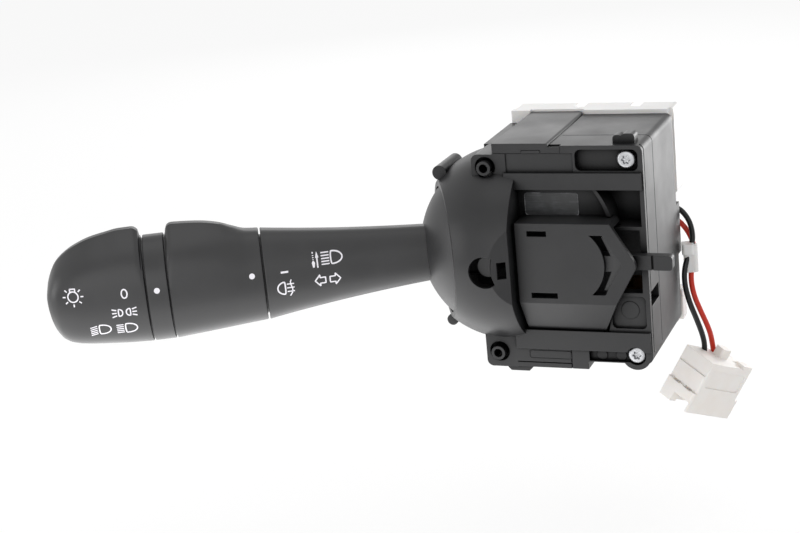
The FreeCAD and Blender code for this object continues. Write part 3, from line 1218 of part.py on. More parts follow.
def make_stalk_inside():
    """Ball shield, hub, nested tubes, contact rotors and detent pins."""
    shield = new_stalk_body("stalk_shield")
    ball = S.dome_radius - S.dome_wall - S.shield_gap
    under = ball - S.shield_wall
    hole = S.neck_radius + S.fit_gap
    edge = S.shield_angle
    turn("PartDesign::Revolution", shield, "cap", "XZ_Plane", (0, 0, 0), outline(
        (root(under * under - hole * hole), hole), (root(ball * ball - hole * hole), hole, ball),
        (ball * cosine(edge), ball * sine(edge)),
        (under * cosine(edge), under * sine(edge), -under)))
    cut(shield, "trim", "XZ_Plane", S.shield_trim, FAR, rectangle(-FAR, FAR, -FAR, FAR))

    hub = new_stalk_body("stalk_hub")
    add(hub, "block", "YZ_Plane", -S.hub_rear, S.hub_front - S.fit_gap, rectangle(
        -S.hub_half_depth, S.hub_half_depth, -S.hub_half_height, S.hub_half_height, Size(1.5, "1.5")))
    cut(hub, "chamber", "YZ_Plane", -S.hub_rear - 1, 1.5, circle(0, 0, S.hub_bore))
    cut(hub, "bore", "YZ_Plane", 1, S.hub_front + 1, circle(0, 0, S.drive_radius + S.fit_gap))
    pin = circle(0, 0, S.cross_pin + S.fit_gap)
    cut(hub, "upper_pin", "XY_Plane", S.hub_half_height - 1.5, S.hub_half_height + 1, pin)
    cut(hub, "lower_pin", "XY_Plane", -S.hub_half_height - 1, 1.5 - S.hub_half_height, pin)

    cap = new_stalk_body("hub_cap")
    add(cap, "disc", "YZ_Plane", -S.hub_rear, 1.5 - S.hub_rear, circle(0, 0, S.hub_bore - 0.03))

    rotor = S.hub_bore - 0.2
    core = new_stalk_body("core_tube")
    add(core, "tube", "YZ_Plane", -1.5, S.index_end - 0.3,
        circle(0, 0, S.core_radius), circle(0, 0, S.shaft_radius + S.fit_gap))
    add(core, "flange", "YZ_Plane", -2.9, -1.4,
        circle(0, 0, S.hub_bore - 0.03), circle(0, 0, S.shaft_radius + S.fit_gap))

    drive = new_stalk_body("fog_drive_tube")
    add(drive, "tube", "YZ_Plane", 0.9, S.fog_end - 0.6,
        circle(0, 0, S.drive_radius), circle(0, 0, S.core_radius + S.fit_gap))

    fog_rotor = new_stalk_body("fog_contact_rotor")
    add(fog_rotor, "disc", "YZ_Plane", -0.9, 0.9,
        circle(0, 0, rotor), circle(0, 0, S.core_radius + S.fit_gap))

    shaft = new_stalk_body("knob_shaft")
    add(shaft, "shaft", "YZ_Plane", -3.4, S.knob_end - 8.1, circle(0, 0, S.shaft_radius))

    light_rotor = new_stalk_body("light_contact_rotor")
    add(light_rotor, "disc", "YZ_Plane", -5.4, -3.4, circle(0, 0, rotor))

    for label, start, end in (
            ("fog_detent_pin", S.shell_end - 7.5, S.fog_start - 0.25),
            ("light_detent_pin", S.index_start + 1.2, S.knob_start - 0.25)):
        detent = new_stalk_body(label)
        add(detent, "pin", "YZ_Plane", start, end, circle(0, -S.detent_offset, S.detent_pin))


# Lead

# Routes of the two wires, chosen by hand along the photographed curve
BLACK_ROUTE = (
    (42.0, 47.2, 4.6), (46.6, 47.2, 4.2), (50.6, 46.2, 0.4), (52.2, 44.4, -4.6),
    (51.6, 42.4, -9.0), (49.9, 40.4, -13.4), (49.6, 39.6, -19.0), (50.9, 39.9, -25.6),
    (52.9, 40.9, -32.0), (54.3, 41.9, -37.4), (54.55, 43.3, -41.8), (54.1, 43.6, -44.4),
)
RED_ROUTE = (
    (42.0, 47.2, 0.6), (46.2, 47.2, 0.2), (50.0, 46.6, -3.6), (52.4, 44.8, -8.4),
    (51.9, 42.6, -13.0), (51.3, 41.6, -18.0), (52.0, 41.7, -23.6), (53.9, 42.4, -29.4),
    (55.7, 44.0, -35.2), (56.4, 45.6, -39.8), (56.45, 48.1, -46.9),
)


def cord_wire(points):
    """Straight runs joined by tangent arcs, each as large as its two runs allow."""
    edges = []
    start = points[0]
    for before, corner, after in zip(points, points[1:], points[2:]):
        to_before = (before - corner).normalize()
        to_after = (after - corner).normalize()
        turn_angle = pi - acos(max(-1.0, min(1.0, to_before.dot(to_after))))
        run = min((before - corner).Length, (after - corner).Length)
        back = 0.45 * run
        radius = back / tan(turn_angle / 2)
        first = corner + to_before * back
        last = corner + to_after * back
        inward = (to_before + to_after).normalize()
        centre = corner + inward * sqrt(radius ** 2 + back ** 2)
        middle = centre - inward * radius
        edges.append(Part.LineSegment(start, first).toShape())
        edges.append(Part.Arc(first, middle, last).toShape())
        print(f"cord bend {degrees(turn_angle):5.1f} degrees, radius {radius:6.1f}")
        start = last
    edges.append(Part.LineSegment(start, points[-1]).toShape())
    return Part.Wire(edges)


def make_wire(label, route):
    """One insulated wire as a plain tube along its route."""
    points = [Vector(*point) for point in route]
    path = cord_wire(points)
    radius = S.wire_radius.value
    section = Part.Wire(Part.makeCircle(radius, points[0], points[1] - points[0]))
    solid = path.makePipeShell([section], True, True)
    share = solid.Volume / (pi * radius ** 2 * path.Length)
    print(f"{label} length {path.Length:.1f} mm, volume against section {share:.4f}")
    feature = document.addObject("Part::Feature", "Cord_" + label)
    feature.Shape = solid
    keep(feature, label)


# Directions of the connector: from wires to mouth, across its ways, and through it
PLUG_DOWN = Vector(-0.4715, -0.2007, -0.8587)
PLUG_SIDE = Vector(0.4053, 0.8155, -0.4132)
PLUG_TOP = Vector(59.12, 43.14, -45.48)


def set_on_lead(feature):
    """Place a piece drawn with z from wires to mouth and x across the two ways."""
    down = Vector(PLUG_DOWN).normalize()
    side = (PLUG_SIDE - down * PLUG_SIDE.dot(down)).normalize()
    turn_plug = Rotation(side, down.cross(side), down, "ZXY")
    feature.Placement = Placement(PLUG_TOP, turn_plug)


def make_lead_pieces():
    """Two-way connector, its terminals and the clip that holds the wires together."""
    plug = new_body("lead_connector")
    wide = S.plug_half_width
    tall = S.plug_half_height
    long = S.plug_length
    step = S.plug_step
    ways = (-S.way_left, S.way_pitch - S.way_left)
    add(plug, "core", "XY_Plane", 0, step + 1, rectangle(-wide + 0.3, wide - 0.4, -tall, tall, Size(0.8, "0.8")))
    add(plug, "rim", "XY_Plane", step, long, rectangle(-wide - 0.3, wide + 1.1, -tall - 0.2, tall, Size(1.0, "1")))
    add(plug, "thumb", "XY_Plane", -3.2, 0.5, rectangle(-0.4, 4.2, 1.2 - S.way_back, 0.6, Size(1.2, "1.2")))
    add(plug, "arm", "XY_Plane", -1.0, 0.5, rectangle(wide - 5.3, wide - 0.4, Size(2.2, "2.2"), tall, Size(0.9, "0.9")))
    cut(plug, "arm_notch", "XY_Plane", -0.1, 2.4, rectangle(wide - 4.8, wide + 1, Size(0.4, "0.4"), Size(2.2, "2.2")))
    cut(plug, "side_step", "XY_Plane", -0.1, 5.0, rectangle(-wide - 1, -wide + 0.6, -tall - 1, tall + 1))
    cut(plug, "front_panel", "XZ_Plane", tall - 0.4, tall + 1, rectangle(-wide + 2.6, wide - 2, 2.4, 8.6, Size(0.8, "0.8")))
    # Slits of the terminal lock and the gap of the rim, both on the left side
    cut(plug, "lock_slits", "YZ_Plane", -wide - 1, -wide + 1.2, *[
        rectangle(as_size(place) - 1.55, as_size(place) + 1.55, step - 0.4, step + 0.3)
        for place in (-2.5, 2.55)])
    cut(plug, "rim_gap", "YZ_Plane", -wide - 1, -wide + 4, rectangle(-1.0, tall - 0.6, long - 3.2, long + 1))
    for number, place in enumerate(ways):
        cut(plug, f"way_{number}", "XY_Plane", 5, long + 1, rectangle(
            place - 1.3, place + 1.3, -S.way_back - 1.1, 1.1 - S.way_back))
    cut(plug, "groove", "XY_Plane", long - 5.4, long + 1, rectangle(
        2.6 - wide, wide - 1.6, 1.8 - S.way_back, tall - 1.4))
    set_on_lead(plug)

    terminals = new_body("lead_terminals")
    for number, place in enumerate(ways):
        add(terminals, f"terminal_{number}", "XY_Plane", 5, long - 3, rectangle(
            place - 1.1, place + 1.1, -S.way_back - 0.9, 0.9 - S.way_back))
    set_on_lead(terminals)

    clip = new_body("wire_clip")
    add(clip, "band", "XY_Plane", -5.0, 3.8, rectangle(-2.3, 2.3, -1.5, 1.5, Size(1.2, "1.2")))
    add(clip, "head", "XY_Plane", 1.0, 4.4, rectangle(-2.7, 1.0, -2.2, 2.0, Size(0.9, "0.9")))
    clip.Placement = Placement(Vector(51.5, 42.4, -11.0), Rotation(Vector(0, 0, 1), 15))


def check_document():
    """Stop if a feature failed or a piece is empty or not valid."""
    document.recompute()
    for item in document.Objects:
        if "Invalid" in item.State or "Error" in item.State:
            raise RuntimeError(f"{item.Name} failed: {item.State}")
    for piece in pieces:
        if piece.Shape.isNull() or not piece.Shape.isValid():
            raise RuntimeError(f"{piece.Label} has no valid shape")
        previous = None
        for feature in getattr(piece, "Group", []):
            if not feature.isDerivedFrom("PartDesign::Feature"):
                continue
            volume = feature.Shape.Volume
            removes = feature.TypeId.endswith(("Pocket", "Groove"))
            if previous is not None and removes and volume > previous - 1e-4:
                raise RuntimeError(f"{feature.Name} removes nothing")
            if previous is not None and not removes and volume < previous + 1e-4:
                raise RuntimeError(f"{feature.Name} adds nothing")
            previous = volume


def write_pieces():
    """Write each piece to parts/ under its label."""
    os.makedirs("parts", exist_ok=True)
    for piece in pieces:
        piece.Shape.exportStep(f"parts/{piece.Label}.step")
        print(f"{piece.Label:22s} volume {piece.Shape.Volume:9.1f} solids {len(piece.Shape.Solids)}")


make_front_housing()
make_rear_housing()
make_top_cover()
make_cancel_cover()
make_cancel_parts()
make_springs()
make_rocker()
make_detent_cam()
make_screws()
make_contacts()
make_terminal_block()
make_stalk_skins()
make_stalk_inside()
make_wire("wire_black", BLACK_ROUTE)
make_wire("wire_red", RED_ROUTE)
make_lead_pieces()
check_document()
write_pieces()
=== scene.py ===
"""Looks of a steering-column stalk switch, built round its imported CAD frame.

The housings, covers and inner pieces are the CAD solids with their own finishes. The
outer skins of the stalk, its printed symbols, the screws, the two wires of the lead and
the small plates on the front face are surfaces worked out here, in the same frame:
X to the right along the face, Y away from the driver, Z up, in metres.
"""

import logging
import math
from dataclasses import dataclass
from enum import Enum

import bmesh
import bpy
import numpy as np
from mathutils import Matrix, Vector

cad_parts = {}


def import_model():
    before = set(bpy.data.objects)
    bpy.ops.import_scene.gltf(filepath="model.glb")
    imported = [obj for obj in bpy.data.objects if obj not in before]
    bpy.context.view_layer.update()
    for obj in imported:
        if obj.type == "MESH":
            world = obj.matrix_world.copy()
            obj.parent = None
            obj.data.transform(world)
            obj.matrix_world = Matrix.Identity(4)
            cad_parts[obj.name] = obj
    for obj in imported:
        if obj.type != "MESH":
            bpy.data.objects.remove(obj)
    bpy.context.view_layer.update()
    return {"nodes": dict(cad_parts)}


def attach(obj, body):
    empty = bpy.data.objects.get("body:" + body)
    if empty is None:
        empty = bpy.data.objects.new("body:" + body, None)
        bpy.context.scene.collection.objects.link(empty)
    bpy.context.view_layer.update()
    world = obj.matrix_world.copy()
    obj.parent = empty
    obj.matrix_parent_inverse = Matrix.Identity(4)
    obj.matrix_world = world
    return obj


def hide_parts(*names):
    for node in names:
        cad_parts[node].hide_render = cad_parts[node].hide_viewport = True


log = logging.getLogger("stalk_switch")

MM = 0.001


class Body(Enum):
    """The rigid bodies of the frame that new pieces ride on."""

    HOUSING = "housing"
    STALK = "stalk"
    KNOB = "light_knob"
    RING = "fog_ring"


class Slot(Enum):
    """Material slots of the record, named here; nothing in this script uses them."""

    HOUSING = "housing_plastic"
    STALK = "stalk_plastic"
    WHITE = "white_plastic"
    SCREW = "zinc_screw"
    BLACK_WIRE = "black_insulation"
    RED_WIRE = "red_insulation"


# Materials


Socket = bpy.types.NodeSocket
Material = bpy.types.Material


def linear(hex_colour: str) -> tuple[float, float, float, float]:
    """Turn an sRGB hex colour into linear RGBA.

    Args:
        hex_colour: six hex digits after a hash.

    Returns:
        Red, green and blue in linear light, and an alpha of one.
    """
    parts = np.array([int(hex_colour[i:i + 2], 16) for i in (1, 3, 5)]) / 255.0
    low = parts / 12.92
    high = ((parts + 0.055) / 1.055) ** 2.4
    return (*np.where(parts <= 0.04045, low, high).tolist(), 1.0)


def add_node(tree: bpy.types.NodeTree, kind: str, settings: dict | None = None,
             inputs: dict | None = None) -> bpy.types.ShaderNode:
    """Add one node with its settings and links.

    Args:
        tree: node tree that takes the node.
        kind: Blender's type name of the node.
        settings: attributes to set on it.
        inputs: values for its inputs, or output sockets to link to them.

    Returns:
        The new node.
    """
    made = tree.nodes.new(kind)
    for name, value in (settings or {}).items():
        setattr(made, name, value)
    for name, value in (inputs or {}).items():
        socket = made.inputs[name]
        if isinstance(value, bpy.types.NodeSocket):
            tree.links.new(value, socket)
        else:
            socket.default_value = value
    return made


@dataclass
class Look:
    """The node tree of one material, with short calls for the nodes that repeat. Every
    pattern lies on Object coordinates."""

    name: str

    def __post_init__(self) -> None:
        """Start the material with its output and its coordinates."""
        self.material = bpy.data.materials.new(self.name)
        self.material.use_nodes = True
        self.tree = self.material.node_tree
        self.tree.nodes.clear()
        self.output = add_node(self.tree, "ShaderNodeOutputMaterial")
        self.place = add_node(self.tree, "ShaderNodeTexCoord").outputs["Object"]

    def noise(self, size_mm: float, detail: float, roughness: float = 0.5) -> Socket:
        """Noise whose patches are about as large as the size."""
        return add_node(self.tree, "ShaderNodeTexNoise", {}, {
            "Vector": self.place, "Scale": 1 / (size_mm * MM), "Detail": detail,
            "Roughness": roughness}).outputs["Fac"]

    def fade(self, value: Socket, start: float, end: float, low: float = 0.0,
             high: float = 1.0) -> Socket:
        """Low at the start, high at the end, straight between and level beyond."""
        return add_node(self.tree, "ShaderNodeMapRange", {}, {
            "Value": value, "From Min": start, "From Max": end, "To Min": low,
            "To Max": high}).outputs["Result"]

    def maths(self, operation: str, *values: Socket | float) -> Socket:
        """Result of one operation on sockets or numbers."""
        return add_node(self.tree, "ShaderNodeMath", {"operation": operation},
                        dict(enumerate(values))).outputs["Value"]

    def tones(self, share: Socket, first: tuple, second: tuple | Socket,
              held: bool = True) -> Socket:
        """Mix of two colours by the share, which is held between 0 and 1 if asked."""
        return add_node(self.tree, "ShaderNodeMix", {
            "data_type": "RGBA", "clamp_factor": held}, {
            "Factor": share, "A": first, "B": second}).outputs[2]

    def soft_edges(self, radius_mm: float, samples: int = 6) -> Socket:
        """Normal that rounds off edges within the radius."""
        return add_node(self.tree, "ShaderNodeBevel", {"samples": samples}, {
            "Radius": radius_mm * MM}).outputs["Normal"]

    def bump(self, height: Socket, depth_mm: float, under: Socket | None = None) -> Socket:
        """Normal that follows the height, on top of the one under it if there is one."""
        under_it = {} if under is None else {"Normal": under}
        return add_node(self.tree, "ShaderNodeBump", {}, {
            "Height": height, "Strength": 1.0, "Distance": depth_mm * MM,
            **under_it}).outputs["Normal"]

    def finish(self, inputs: dict) -> Material:
        """Close the tree with a Principled shader of these inputs."""
        return self.close(add_node(self.tree, "ShaderNodeBsdfPrincipled", {}, inputs))

    def close(self, shader: bpy.types.ShaderNode) -> Material:
        """Link the shader to the output and hand over the material."""
        self.tree.links.new(shader.outputs[0], self.output.inputs["Surface"])
        return self.material


@dataclass(frozen=True)
class MouldedPlastic:
    """Injection-moulded plastic: an eroded steel mould leaves a fine even grain, and the
    colour drifts a little where the melt flowed. Edges are softened by the tool's radii."""

    name: str
    colour: str
    pale: str
    roughness: float
    grain_mm: float
    grain_depth_mm: float
    edge_mm: float
    specular: float = 0.5
    # Painted shade in hollows: share of colour and reflection left where it is darkest
    painted_hollow_shade: float = 1.0
    sheen_spread: float = 0.05
    flow_mm: float = 14.0
    # How far the painted shade in hollows reaches
    painted_hollow_shade_mm: float = 7.0
    dust_mm: float = 7.0

    def build(self) -> Material:
        """Make the material: the share of the pale tone is the flow, plus a quarter of the
        grain, plus a few specks of dust. Painted shade darkens the colour and the reflection
        in hollows, down to the share left where it is darkest.

        Returns:
            The finished material.
        """
        look = Look(self.name)
        flow = look.noise(self.flow_mm, 3.0)
        grain = look.noise(self.grain_mm, 2.0, 0.6)
        dust = add_node(look.tree, "ShaderNodeTexVoronoi", {"feature": "F1"}, {
            "Vector": look.place, "Scale": 1 / (self.dust_mm * MM)})
        speck = look.fade(dust.outputs["Distance"], 0.012, 0.02, 1.0, 0.0)
        share = look.maths("MULTIPLY_ADD", grain, 0.25, look.fade(flow, 0.3, 0.7))
        share = look.maths("MULTIPLY_ADD", speck, 1.6, share)
        colour = look.tones(share, linear(self.colour), linear(self.pale), False)
        specular = self.specular
        # Painted shade: ambient occlusion darkens the colour and the reflection in hollows and
        # between parts, where shade would fall
        if self.painted_hollow_shade < 1.0:
            openness_for_painted_shade = add_node(look.tree, "ShaderNodeAmbientOcclusion", {"samples": 8}, {
                "Distance": self.painted_hollow_shade_mm * MM})
            painted_shade_kept = look.fade(openness_for_painted_shade.outputs["AO"], 0.4, 0.92, self.painted_hollow_shade)
            colour = look.tones(painted_shade_kept, linear("#000000"), colour)
            specular = look.maths("MULTIPLY", painted_shade_kept, self.specular)
        rough = look.fade(flow, 0.3, 0.7, self.roughness - self.sheen_spread,
                          self.roughness + self.sheen_spread)
        return look.finish({
            "Base Color": colour, "Roughness": rough, "Specular IOR Level": specular,
            "Normal": look.bump(grain, self.grain_depth_mm, look.soft_edges(self.edge_mm)),
            "IOR": 1.5})


@dataclass(frozen=True)
class TwoTone:
    """A finish of two tones in soft patches. It has a fine relief and rounded edges where
    their sizes aren't zero."""

    name: str
    colour: str
    second: str
    roughness: float = 0.5
    patch_mm: float = 0.8
    detail: float = 4.0
    relief_mm: float = 0.0
    relief_patch_mm: float = 1.0
    edge_mm: float = 0.0
    edge_samples: int = 6

    def share(self, look: Look, patches: Socket) -> Socket:
        """Share of the second tone."""
        return patches

    def extra(self, look: Look, patches: Socket) -> dict:
        """Further inputs of the shader."""
        return {}

    def build(self) -> Material:
        """Make the material.

        Returns:
            The finished material.
        """
        look = Look(self.name)
        patches = look.noise(self.patch_mm, self.detail)
        tone = look.tones(self.share(look, patches), linear(self.colour), linear(self.second))
        normal = look.soft_edges(self.edge_mm, self.edge_samples) if self.edge_mm else None
        if self.relief_mm:
            normal = look.bump(look.noise(self.relief_patch_mm, 2.0), self.relief_mm, normal)
        shape = {} if normal is None else {"Normal": normal}
        return look.finish({"Base Color": tone, "Roughness": self.roughness, **shape,
                            **self.extra(look, patches)})


@dataclass(frozen=True)
class PrintedInk(TwoTone):
    """Pad-printed ink: a thin opaque film, slightly satin, which pools and thins a little
    over about a third of a millimetre."""

    roughness: float = 0.45
    patch_mm: float = 0.35
    detail: float = 1.0

    def share(self, look: Look, patches: Socket) -> Socket:
        """At most an eighth of the thinner tone."""
        return look.fade(patches, 0.2, 0.8, 0.0, 0.12)


@dataclass(frozen=True)
class WhiteNylon(TwoTone):
    """Natural-white moulded nylon: a little light scatters inside it, so its shaded
    sides stay warm and its edges soft."""

    roughness: float = 0.38
    patch_mm: float = 6.0
    detail: float = 2.0
    relief_mm: float = 0.01
    relief_patch_mm: float = 0.5
    edge_mm: float = 0.3

    def extra(self, look: Look, patches: Socket) -> dict:
        """A quarter of the light scatters, about a millimetre deep."""
        return {"Subsurface Weight": 0.25, "Subsurface Scale": 1.0,
                "Subsurface Radius": (0.0012, 0.0010, 0.0008)}


@dataclass(frozen=True)
class WorkedMetal(TwoTone):
    """Metal with fine marks of rolling, turning or plating that break up its gloss."""

    detail: float = 3.0
    edge_mm: float = 0.1
    edge_samples: int = 4

    def extra(self, look: Look, patches: Socket) -> dict:
        """The marks change the roughness too."""
        low, high = self.roughness - 0.08, self.roughness + 0.1
        return {"Metallic": 1.0, "Roughness": look.fade(patches, 0.0, 1.0, low, high)}


@dataclass(frozen=True)
class WireInsulation(TwoTone):
    """Extruded soft vinyl: smooth and fairly glossy, faintly rippled along the wire."""

    roughness: float = 0.32
    patch_mm: float = 1.6
    detail: float = 2.0
    relief_mm: float = 0.03
    relief_patch_mm: float = 1.6

    def extra(self, look: Look, patches: Socket) -> dict:
        """A weaker reflection than that of hard plastic."""
        return {"Specular IOR Level": 0.3}


@dataclass(frozen=True)
class Laminate(TwoTone):
    """Phenolic paper laminate: brown, with a faint weave of its fibres."""


@dataclass(frozen=True)
class ScuffedLabel:
    """Bare grey label film whose surface was rubbed: fine scratches run across it, each
    about half a millimetre wide and 6 mm long, in patches."""

    name: str
    colour: str
    scratch: str
    roughness: float = 0.42
    scratch_mm: tuple[float, float, float] = (6.0, 1.0, 0.45)
    lean: float = 0.35
    patch_mm: float = 3.5

    def build(self) -> Material:
        """Make the material.

        Returns:
            The finished material.
        """
        look = Look(self.name)
        stretched = add_node(look.tree, "ShaderNodeMapping", {}, {
            "Vector": look.place, "Rotation": (0.0, self.lean, 0.0),
            "Scale": tuple(1 / (size * MM) for size in self.scratch_mm)})
        lines = add_node(look.tree, "ShaderNodeTexNoise", {}, {
            "Vector": stretched.outputs["Vector"], "Scale": 1.0, "Detail": 4.0,
            "Roughness": 0.7})
        both = look.maths("MULTIPLY", lines.outputs["Fac"], look.noise(self.patch_mm, 3.0))
        share = look.fade(both, 0.2, 0.38)
        return look.finish({
            "Base Color": look.tones(share, linear(self.colour), linear(self.scratch)),
            "Roughness": self.roughness, "Normal": look.bump(both, 0.05)})


class Finishes:
    """All finishes of the switch, each named for its real material."""

    def __init__(self) -> None:
        """Build every material once."""
        # The housing gets painted shade in its hollows, down to 12 percent of its colour and
        # reflection
        self.housing = MouldedPlastic(
            "glass_filled_nylon_moulded", "#262627", "#2C2C2D", 0.38, 0.45, 0.018, 0.28,
            specular=0.32, painted_hollow_shade=0.12).build()
        self.dome = MouldedPlastic(
            "acetal_dome_moulded", "#29292A", "#2F2F30", 0.44, 0.45, 0.014, 0.22).build()
        self.stalk = MouldedPlastic(
            "abs_stalk_grained", "#252526", "#2B2B2C", 0.38, 0.38, 0.016, 0.12).build()
        self.inner = MouldedPlastic(
            "acetal_black_moulded", "#161617", "#1C1C1D", 0.42, 0.6, 0.01, 0.2).build()
        self.white = WhiteNylon("nylon_natural_white", "#F1F1F1", "#E6E4E1").build()
        self.ink = PrintedInk("pad_printed_ink", "#F0EEF4", "#8C8C90").build()
        self.zinc = WorkedMetal("zinc_plated_steel", "#BEBFC1", "#9C9DA0", 0.34, 0.5).build()
        self.steel = WorkedMetal("spring_steel", "#9A9A9C", "#77777A", 0.35, 0.4).build()
        self.brass = WorkedMetal("tinned_brass", "#D9C08A", "#B69B62", 0.3, 0.6).build()
        self.black_wire = WireInsulation("vinyl_black", "#131314", "#1A1B1C").build()
        self.red_wire = WireInsulation("vinyl_red", "#BE2A19", "#CB3826").build()
        self.label = ScuffedLabel("label_film_scuffed", "#2C2D2E", "#464749").build()
        self.rubbed = ScuffedLabel("label_edge_rubbed", "#3E3F41", "#9A9B9D").build()
        self.plug = WhiteNylon("nylon_cream_white", "#F8F6F3", "#F1EAE4").build()
        self.laminate = Laminate("phenolic_laminate", "#6B4A26", "#80592F").build()


# Surfaces


def closed_mesh(name: str, rings: np.ndarray, ring_shut: bool, ends_shut: bool,
                material: Material, crease: float = 40.0) -> bpy.types.Object:
    """Make a closed mesh from rings of points: point (i, j) is joined to (i+1, j) and
    (i, j+1), each ring runs round, and the path of rings is shut or has a cap at each end.

    Args:
        name: name of the object.
        rings: points in metres, one ring per row, shape (rows, points, 3).
        ring_shut: whether the last ring joins the first.
        ends_shut: whether the first and last ring get a flat cap.
        material: its finish.
        crease: angle in degrees above which an edge stays sharp.

    Returns:
        The object, at the origin.
    """
    rows, count = rings.shape[:2]
    steps = rows if ring_shut else rows - 1
    i, j = np.meshgrid(np.arange(steps), np.arange(count), indexing="ij")
    near, far = i * count, ((i + 1) % rows) * count
    across = (j + 1) % count
    quads = np.stack([near + j, near + across, far + across, far + j], axis=-1)
    faces = quads.reshape(-1, 4).tolist()
    if ends_shut:
        faces.append(list(range(count)))
        faces.append(list(range((rows - 1) * count, rows * count)))
    mesh = bpy.data.meshes.new(name)
    mesh.from_pydata(rings.reshape(-1, 3).tolist(), [], faces)
    return finish_mesh(name, mesh, material, crease)


def finish_mesh(name: str, mesh: bpy.types.Mesh, material: Material,
                crease: float = 40.0) -> bpy.types.Object:
    """Turn the faces outwards, shade them and link the object.

    Args:
        name: name of the object.
        mesh: its mesh, in the row frame.
        material: its finish.
        crease: angle in degrees above which an edge stays sharp.

    Returns:
        The object, at the origin.
    """
    work = bmesh.new()
    work.from_mesh(mesh)
    bmesh.ops.remove_doubles(work, verts=work.verts, dist=1e-7)
    bmesh.ops.recalc_face_normals(work, faces=work.faces)
    work.to_mesh(mesh)
    work.free()
    mesh.polygons.foreach_set("use_smooth", np.ones(len(mesh.polygons), bool))
    mesh.set_sharp_from_angle(angle=math.radians(crease))
    mesh.materials.append(material)
    made = bpy.data.objects.new(name, mesh)
    bpy.context.scene.collection.objects.link(made)
    return made


def joined_mesh(name: str, shells: list, material: Material,
                crease: float = 40.0) -> bpy.types.Object:
    """Make one mesh of several closed shells.

    Args:
        name: name of the object.
        shells: tuples (rings, ring_shut, ends_shut), each as for closed_mesh.
        material: its finish.
        crease: angle in degrees above which an edge stays sharp.

    Returns:
        The object, at the origin.
    """
    work = bmesh.new()
    for rings, ring_shut, ends_shut in shells:
        part = closed_mesh(name + "_part", rings, ring_shut, ends_shut, material, crease)
        work.from_mesh(part.data)
        bpy.data.meshes.remove(part.data)
    mesh = bpy.data.meshes.new(name)
    work.to_mesh(mesh)
    work.free()
    return finish_mesh(name, mesh, material, crease)


def hermite(t: np.ndarray, width: np.ndarray, values: tuple, slopes: tuple) -> np.ndarray:
    """Cubic piece with given values and slopes at its two ends: (2t^3 - 3t^2 + 1) a
    + (t^3 - 2t^2 + t) w da + (3t^2 - 2t^3) b + (t^3 - t^2) w db.

    Args:
        t: share of the way along the piece.
        width: length w of the piece.
        values: a at its start and b at its end.
        slopes: da and db there.

    Returns:
        The values at t.
    """
    return ((2 * t**3 - 3 * t**2 + 1) * values[0] + (t**3 - 2 * t**2 + t) * width * slopes[0]
            + (3 * t**2 - 2 * t**3) * values[1] + (t**3 - t**2) * width * slopes[1])


def smooth_table(x: np.ndarray, known: np.ndarray, values: np.ndarray) -> np.ndarray:
    """Read a table with a smooth curve that never overshoots: cubic pieces whose slope at
    each entry is the harmonic mean of the slopes beside it, or zero at a turning point.

    Args:
        x: where to read.
        known: rising positions of the entries.
        values: the entries.

    Returns:
        The values at x.
    """
    step = np.diff(known)
    slope = np.diff(values) / step
    inner = np.where(slope[:-1] * slope[1:] > 0,
                     2 * slope[:-1] * slope[1:] / (slope[:-1] + slope[1:] + 1e-12), 0.0)
    tangent = np.concatenate([[slope[0]], inner, [slope[-1]]])
    k = np.clip(np.searchsorted(known, x) - 1, 0, len(step) - 1)
    return hermite((x - known[k]) / step[k], step[k], (values[k], values[k + 1]),
                   (tangent[k], tangent[k + 1]))


def rounded_plate(low: tuple[float, float], high: tuple[float, float], corner: float,
                  back: float, front: float, edge: float, count: int = 48) -> np.ndarray:
    """Rings of a thin plate facing -Y: a rounded rectangle from its back edge, over a
    quarter-round front edge, to a point in its middle.

    Args:
        low: lower left corner (x, z) in metres.
        high: upper right corner.
        corner: radius of the corners.
        back: y of its back.
        front: y of its front.
        edge: radius of the front edge.
        count: points per ring, a multiple of four.

    Returns:
        Points of shape (rows, count, 3).
    """
    centre = (np.array(low) + np.array(high)) / 2
    half = (np.array(high) - np.array(low)) / 2
    angle = 2 * np.pi * (np.arange(count) + 0.5) / count
    way = np.stack([np.cos(angle), np.sin(angle)], axis=-1)
    outline = np.sign(way) * (half - corner) + way * corner
    turn = np.linspace(0.3, np.pi / 2, 4)
    inward = np.concatenate([[0.0, 0.0], edge * (1 - np.cos(turn))])
    depth = np.concatenate([[back, front + edge], front + edge * (1 - np.sin(turn))])
    shrink = 1 - inward[:, None, None] / np.abs(outline).max()
    flat = centre + outline[None] * shrink
    y = np.broadcast_to(depth[:, None], flat.shape[:2])
    return np.stack([flat[..., 0], y, flat[..., 1]], axis=-1)


def outline_bead(low: tuple[float, float], high: tuple[float, float], corner: float,
                 seat: float, width: float, rise: float, count: int = 64) -> np.ndarray:
    """Rings of a thin half-round bead on a face towards -Y, that runs round a rounded
    rectangle: across = width / 2 * cos(t), proud = rise * sin(t), t from 0 to pi.

    Args:
        low: lower left corner (x, z) of its middle line in metres.
        high: upper right corner.
        corner: radius of the corners.
        seat: y of the face.
        width: width of the bead.
        rise: how far it stands proud.
        count: points along it, a multiple of four.

    Returns:
        Points of shape (rows, points, 3), a path that is shut.
    """
    angle = 2 * np.pi * (np.arange(count) + 0.5) / count
    way = np.stack([np.cos(angle), np.sin(angle)], axis=-1)
    centre = (np.array(low) + np.array(high)) / 2
    reach = (np.array(high) - np.array(low)) / 2 - corner
    middle = centre + np.sign(way) * reach + way * corner
    turn = np.linspace(0, np.pi, 7)
    across = np.concatenate([[-1.0, 1.0], np.cos(turn)]) * width / 2
    sunk = 0.05 * MM
    depth = np.concatenate([[sunk, sunk], -rise * np.sin(turn)])
    flat = middle[:, None] + way[:, None] * across[None, :, None]
    y = np.broadcast_to(seat + depth, flat.shape[:2])
    return np.stack([flat[..., 0], y, flat[..., 1]], axis=-1)


# Stalk


